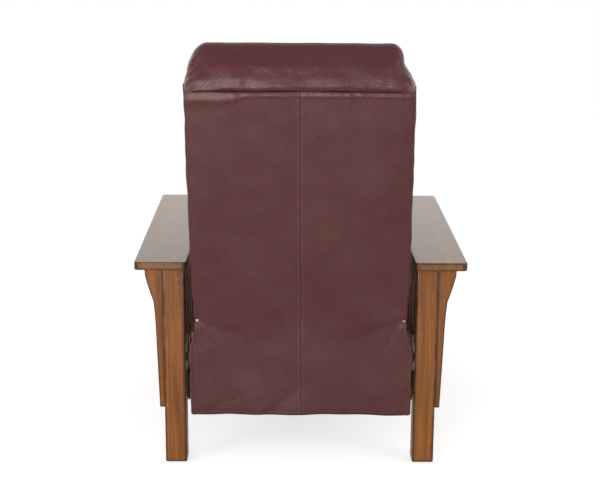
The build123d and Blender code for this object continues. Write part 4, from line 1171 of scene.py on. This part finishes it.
# The footrest pad's seam: a share of its thickness from its foot
PAD_SEAM_SHARE, PAD_GROOVE_WIDTH, PAD_PULL_REACH = 0.62 * 0.72, 0.0022, 0.016
PAD_GATHERS, PAD_WAVES = (0.0012, 0.066, 71), ((0.0010, 0.12, 72),)


def seat_top(y):
    """The height of the seat's top line at a place along the seat."""
    share = (SEAT_HIGH.y - y) / (SEAT_HIGH.y - SEAT_LOW.y)
    rise = np.interp(share, SEAT_TOP_PLACES, SEAT_TOP_SHARES)
    return SEAT_LOW.z + (SEAT_HIGH.z - SEAT_LOW.z) * rise


def make_seat():
    """The seat cushion: a boxed cushion with a rolled front edge."""
    seat = block("seat_cushion_leather", *SEAT_CELLS)
    cube = pillow_shape(places_of(seat), (0.0, 0.0, 0.0), 0.015, 0.16)
    middle, half = (SEAT_LOW + SEAT_HIGH) / 2, (SEAT_HIGH - SEAT_LOW) / 2
    x, y = cube[:, 0] * (half.x - SEAT_ROOM), middle.y + cube[:, 1] * (half.y - SEAT_ROOM)
    nose = ease(-cube[:, 1], 2 * SEAT_NOSE_START - 1, 1)
    under = SEAT_LOW.z + (SEAT_HIGH.z - SEAT_LOW.z) * SEAT_NOSE_LIFT * nose
    z = under + (seat_top(y) - SEAT_TOP_ROOM - under) * np.clip((cube[:, 2] + 1) / 2, 0, 1)
    move_to(seat, np.stack([x, y, z], -1))

    def still(points):
        return points[:, 2] < SEAT_LOW.z + HELD_REACH

    def fit(points):
        return np.stack([filling(points[:, 0], SEAT_LOW.x, SEAT_HIGH.x),
                         filling(points[:, 1], SEAT_LOW.y, SEAT_HIGH.y),
                         filling(points[:, 2], SEAT_LOW.z, SEAT_HIGH.z, SEAT_LOW.z)], -1)

    inflate(seat, SEAT_CAP, still, fit)
    places = places_of(seat)
    inset = np.minimum(SEAT_HIGH.x - np.abs(places[:, 0]), places[:, 1] - SEAT_LOW.y)
    upper_seam = places[:, 2] - (seat_top(places[:, 1]) - UPPER_SEAM_DROP)
    rim = 1 - ease(inset, 0.012, 0.030)
    groove = ridge(upper_seam, SEAM_GROOVE_WIDTH) * rim
    welt = ridge(upper_seam - WELT_RISE, WELT_WIDTH) * rim
    lower_seam = ridge(places[:, 2] - (SEAT_LOW.z + LOWER_SEAM_RISE), SEAM_GROOVE_WIDTH) * rim
    height, size, seed = SEAT_GATHERS
    gather = waves(places * [2.2, 2.2, 0.5], size, seed)
    pull = np.exp(-np.abs(upper_seam) / SEAT_PULL_REACH) * rim
    move = WELT_HEIGHT * (welt - lower_seam) - UPPER_GROOVE * groove + height * gather * pull
    top = ease(places_of(seat, "normal")[:, 2], 0.5, 0.9)
    move += uneven(places, *SEAT_WAVES) * top
    # Painted shade in both seam grooves, and painted highlights with some rubbed wear on the welt
    # and the gathers
    sew(seat, places, move, 0.9 * groove + 0.7 * lower_seam,
        0.4 * welt + 0.25 * np.clip(gather, 0, 1) * pull)
    stuffed(seat, "seat", hide_leather, "seat_cushion")


def make_footrest():
    """The footrest pad, drawn over its board."""
    pad = block("footrest_pad_leather", *PAD_CELLS)
    cube = pillow_shape(places_of(pad), (0.0, 0.22, 0.0), 0.01, 0.14)
    middle, half = (PAD_LOW + PAD_HIGH) / 2, (PAD_HIGH - PAD_LOW) / 2
    places = cube * np.array(half - PAD_ROOM) + np.array(middle) + [0, PAD_ROOM.y, 0]
    places[:, 1] = np.minimum(places[:, 1], PAD_HIGH.y)
    move_to(pad, places)

    def still(points):
        return points[:, 1] > PAD_HIGH.y - HELD_REACH

    def fit(points):
        return np.stack([filling(points[:, 0], PAD_LOW.x, PAD_HIGH.x),
                         -filling(-points[:, 1], -PAD_HIGH.y, -PAD_LOW.y, -PAD_HIGH.y),
                         filling(points[:, 2], PAD_LOW.z, PAD_HIGH.z)], -1)

    inflate(pad, PAD_CAP, still, fit, PAD_VOXEL)
    places = places_of(pad)
    edge = np.minimum(PAD_HIGH.x - np.abs(places[:, 0]),
                      np.minimum(places[:, 2] - PAD_LOW.z, PAD_HIGH.z - places[:, 2]))
    rim = 1 - ease(edge, 0.010, 0.028)
    seam_line = places[:, 1] - (PAD_HIGH.y - PAD_SEAM_SHARE * (PAD_HIGH.y - PAD_LOW.y))
    groove = ridge(seam_line, PAD_GROOVE_WIDTH) * rim
    height, size, seed = PAD_GATHERS
    gather = waves(places * [2.2, 0.4, 2.2], size, seed)
    pull = np.exp(-np.abs(seam_line) / PAD_PULL_REACH) * rim
    move = height * gather * pull - SEAM_GROOVE * groove + uneven(places, *PAD_WAVES)
    move *= ease(PAD_HIGH.y - places[:, 1], 0.002, 0.012)
    # Painted shade in the seam's groove, and painted highlights with some rubbed wear on the gathers
    sew(pad, places, move, 0.9 * groove, 0.25 * np.clip(gather, 0, 1) * pull)
    stuffed(pad, "footrest", hide_leather, "footrest_pad")


make_seat()
make_footrest()


# Press studs: a domed cap on a rolled rim, which stand on the leather
CAP_RADIUS, CAP_HEIGHT, CAP_EDGE, CAP_LIFT = 0.0038, 0.0022, 0.0015, 0.0012
RIM_RADIUS, RIM_THICKNESS, RIM_DROP = CAP_RADIUS + 0.0002, 0.0005, 0.0008
STUD_SIDES = 32


def place_solid(make, middle, **sizes):
    """Adds a solid whose axis stands square to the leaning back, with its place in its mesh."""
    make(location=middle, rotation=(math.pi / 2 + BACK_LEAN, 0, 0), **sizes)
    bpy.ops.object.transform_apply(location=True, rotation=True, scale=True)
    return bpy.context.object


def make_studs():
    """Both press studs in one piece."""
    caps = []
    for side in (-1, 1):
        seat_place = hide_places(np.array([side * STUD_SPREAD / (PANEL_HALF_WIDTH + 0.006)]),
                                 np.array([STUD_T]))[0]
        middle = Vector((side * STUD_SPREAD, seat_place[1] + CAP_LIFT, seat_place[2]))
        cap = place_solid(bpy.ops.mesh.primitive_cylinder_add, middle, vertices=STUD_SIDES,
                          radius=CAP_RADIUS, depth=CAP_HEIGHT)
        finish_with(cap, "BEVEL", width=CAP_EDGE, segments=5, limit_method="ANGLE",
                    angle_limit=math.radians(60))
        caps.append(cap)
        caps.append(place_solid(bpy.ops.mesh.primitive_torus_add,
                                middle - Vector((0, RIM_DROP, 0)), major_segments=STUD_SIDES,
                                minor_segments=10, major_radius=RIM_RADIUS,
                                minor_radius=RIM_THICKNESS))
    bpy.ops.object.select_all(action="DESELECT")
    for cap in caps:
        cap.select_set(True)
    bpy.context.view_layer.objects.active = caps[0]
    bpy.ops.object.join()
    studs = bpy.context.object
    studs.name = studs.data.name = "press_stud_caps"
    smooth(studs, 50)
    dress(studs, "back", nickel, "press_studs", slot="stud_metal")


make_studs()


# Lock stitches along the flap's hem
STITCH_LENGTH = 0.0042
STITCH_PITCH = 0.0056
STITCH_RADIUS = 0.00045


def make_stitches(name, line, body):
    """A row of short stitches along a line of places."""
    steps = np.linalg.norm(np.diff(line, axis=0), axis=1)
    run = np.concatenate([[0], np.cumsum(steps)])
    bpy.ops.mesh.primitive_uv_sphere_add(segments=8, ring_count=6, radius=1)
    first = bpy.context.object
    shape = places_of(first) * [STITCH_LENGTH / 2, STITCH_RADIUS, STITCH_RADIUS]
    faces = [list(face.vertices) for face in first.data.polygons]
    bpy.data.objects.remove(first)
    points, polygons = [], []
    for n in range(int(run[-1] / STITCH_PITCH)):
        place = np.array([np.interp((n + 0.5) * STITCH_PITCH, run, line[:, a]) for a in range(3)])
        ahead = np.array([np.interp((n + 0.8) * STITCH_PITCH, run, line[:, a]) for a in range(3)])
        way = Vector(ahead - place).normalized()
        turned = np.array(way.to_track_quat("X", "Z").to_matrix())
        polygons += [[v + len(points) * len(shape) for v in face] for face in faces]
        points.append(shape @ turned.T + place)
    mesh = bpy.data.meshes.new(name)
    mesh.from_pydata(np.concatenate(points).tolist(), [], polygons)
    row = show(name, mesh)
    smooth(row)
    row.data.materials.append(burgundy_thread)
    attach(row, body)


HEM_STITCH_RISE, HEM_STITCH_END_SHARE = 0.0095, 0.965
hem_share = np.linspace(-HEM_STITCH_END_SHARE, HEM_STITCH_END_SHARE, 260)
hem_t = np.full_like(hem_share, HIDE_LENGTH - HEM_STITCH_RISE)
make_stitches("flap_hem_stitches", hide_places(hem_share, hem_t), "flap")


# Floor, light and camera. What is mirrored glows, and what lights the chair is weaker
FLOOR_SIZE = 60
FLOOR_LIFT = 0.61
FLOOR_DARK, FLOOR_PALE = (0.84, 0.84, 0.84, 1), (0.87, 0.87, 0.87, 1)
WALL_GLOW, CEILING_GLOW = 0.85, 0.68
FRONT_GLOW = 0.55
WALL_LIGHT, CEILING_LIGHT = 0.80, 0.30


def make_floor():
    """A pale floor that keeps the chair's shadow."""
    bpy.ops.mesh.primitive_plane_add(size=FLOOR_SIZE)
    floor = bpy.context.object
    floor.name = floor.data.name = "pale_floor"
    material, surface, places = new_finish("pale_paint", Roughness=0.85, Specular_IOR_Level=0.1)
    dust = grains(material, places, 0.4, 3)
    put(material, surface.inputs["Base Color"], mix(material, dust, FLOOR_DARK, FLOOR_PALE))
    seen = add(material, "LightPath").outputs["Is Camera Ray"]
    surface.inputs["Emission Color"].default_value = (1, 1, 1, 1)
    put(material, surface.inputs["Emission Strength"], times(material, seen, FLOOR_LIFT))
    floor.data.materials.append(material)


def make_world():
    """An even studio: white where it is seen, with pale walls and a darker ceiling."""
    world = bpy.data.worlds.new("studio")
    bpy.context.scene.world = world
    world.use_nodes = True
    ways = add(world, "TexCoord").outputs["Generated"]
    way = add(world, "SeparateXYZ", Vector=ways).outputs
    mirrored = spread(world, way["Z"], 0.20, 0.70, WALL_GLOW, CEILING_GLOW)
    front = times(world, spread(world, way["Y"], -0.3, -0.9), spread(world, way["Z"], 0.30, 0.18))
    mirrored = times(world, mirrored, times(world, front, FRONT_GLOW), "ADD")
    lit = spread(world, way["Z"], 0.0, 0.9, WALL_LIGHT, CEILING_LIGHT)
    path = add(world, "LightPath")
    gloss = times(world, path.outputs["Is Glossy Ray"], path.outputs["Is Transmission Ray"],
                  "MAXIMUM")
    glow = add(world, "Mix", {"data_type": "FLOAT"}, Factor=gloss, A=lit, B=mirrored)
    seen = add(world, "Mix", {"data_type": "FLOAT"}, Factor=path.outputs["Is Camera Ray"],
               A=glow.outputs[0], B=1.0)
    background = world.node_tree.nodes["Background"]
    background.inputs["Color"].default_value = (1, 1, 1, 1)
    put(world, background.inputs["Strength"], seen.outputs[0])


def make_lamp(name, place, target, size, power):
    """A soft square lamp."""
    lamp = bpy.data.lights.new(name, "AREA")
    lamp.shape = "RECTANGLE"
    lamp.size, lamp.size_y = size
    lamp.energy = power
    holder = show(name, lamp)
    holder.location = place
    holder.visible_camera = False
    holder.rotation_mode = "QUATERNION"
    holder.rotation_quaternion = (Vector(target) - Vector(place)).to_track_quat("-Z", "Y")


# The camera's place in metres, its turns in radians and its lens in millimetres
CAMERA_SIDE, CAMERA_BEHIND_ARMS, CAMERA_HEIGHT = 0.0328, 3.10607, 1.38276
CAMERA_PITCH, CAMERA_YAW, CAMERA_ROLL = 0.25396, 0.00967, 0.00665
CAMERA_LENS, SENSOR_WIDTH = 79.79, 36


def make_camera():
    """The camera behind the chair, looking along -Y and a little down."""
    view = bpy.data.cameras.new("rear_view")
    view.lens = CAMERA_LENS
    view.sensor_width = SENSOR_WIDTH
    camera = show("rear_view", view)
    ahead = Matrix(((-1, 0, 0), (0, 0, -1), (0, -1, 0)))
    turn = Matrix.Rotation(-CAMERA_YAW, 3, "Y")
    tilt = Matrix.Rotation(CAMERA_PITCH, 3, "X")
    roll = Matrix.Rotation(CAMERA_ROLL, 3, "Z")
    right, down, forward = roll @ tilt @ turn @ ahead
    camera.rotation_mode = "QUATERNION"
    camera.rotation_quaternion = Matrix((right, -down, -forward)).transposed().to_quaternion()
    camera.location = (CAMERA_SIDE, ARM_REAR + CAMERA_BEHIND_ARMS, CAMERA_HEIGHT)
    bpy.context.scene.camera = camera


# Each lamp's place, what it points at, its width and height, and its power in watts
CHAIR_MIDDLE = (0.0, 0.0, 0.5)
HEAD_ROLL = (0.0, 0.4, 0.95)
LAMPS = {
    "rear_window": ((0.75, 3.9, 0.95), HEAD_ROLL, (1.5, 0.8), 50),
    "left_window": ((2.6, 2.2, 1.4), CHAIR_MIDDLE, (1.6, 1.4), 26),
    "right_window": ((-2.8, 1.8, 1.5), CHAIR_MIDDLE, (1.6, 1.4), 22),
}

make_floor()
make_world()
for lamp_name, lamp_settings in LAMPS.items():
    make_lamp(lamp_name, *lamp_settings)
make_camera()
bpy.context.scene.view_settings.view_transform = "Standard"
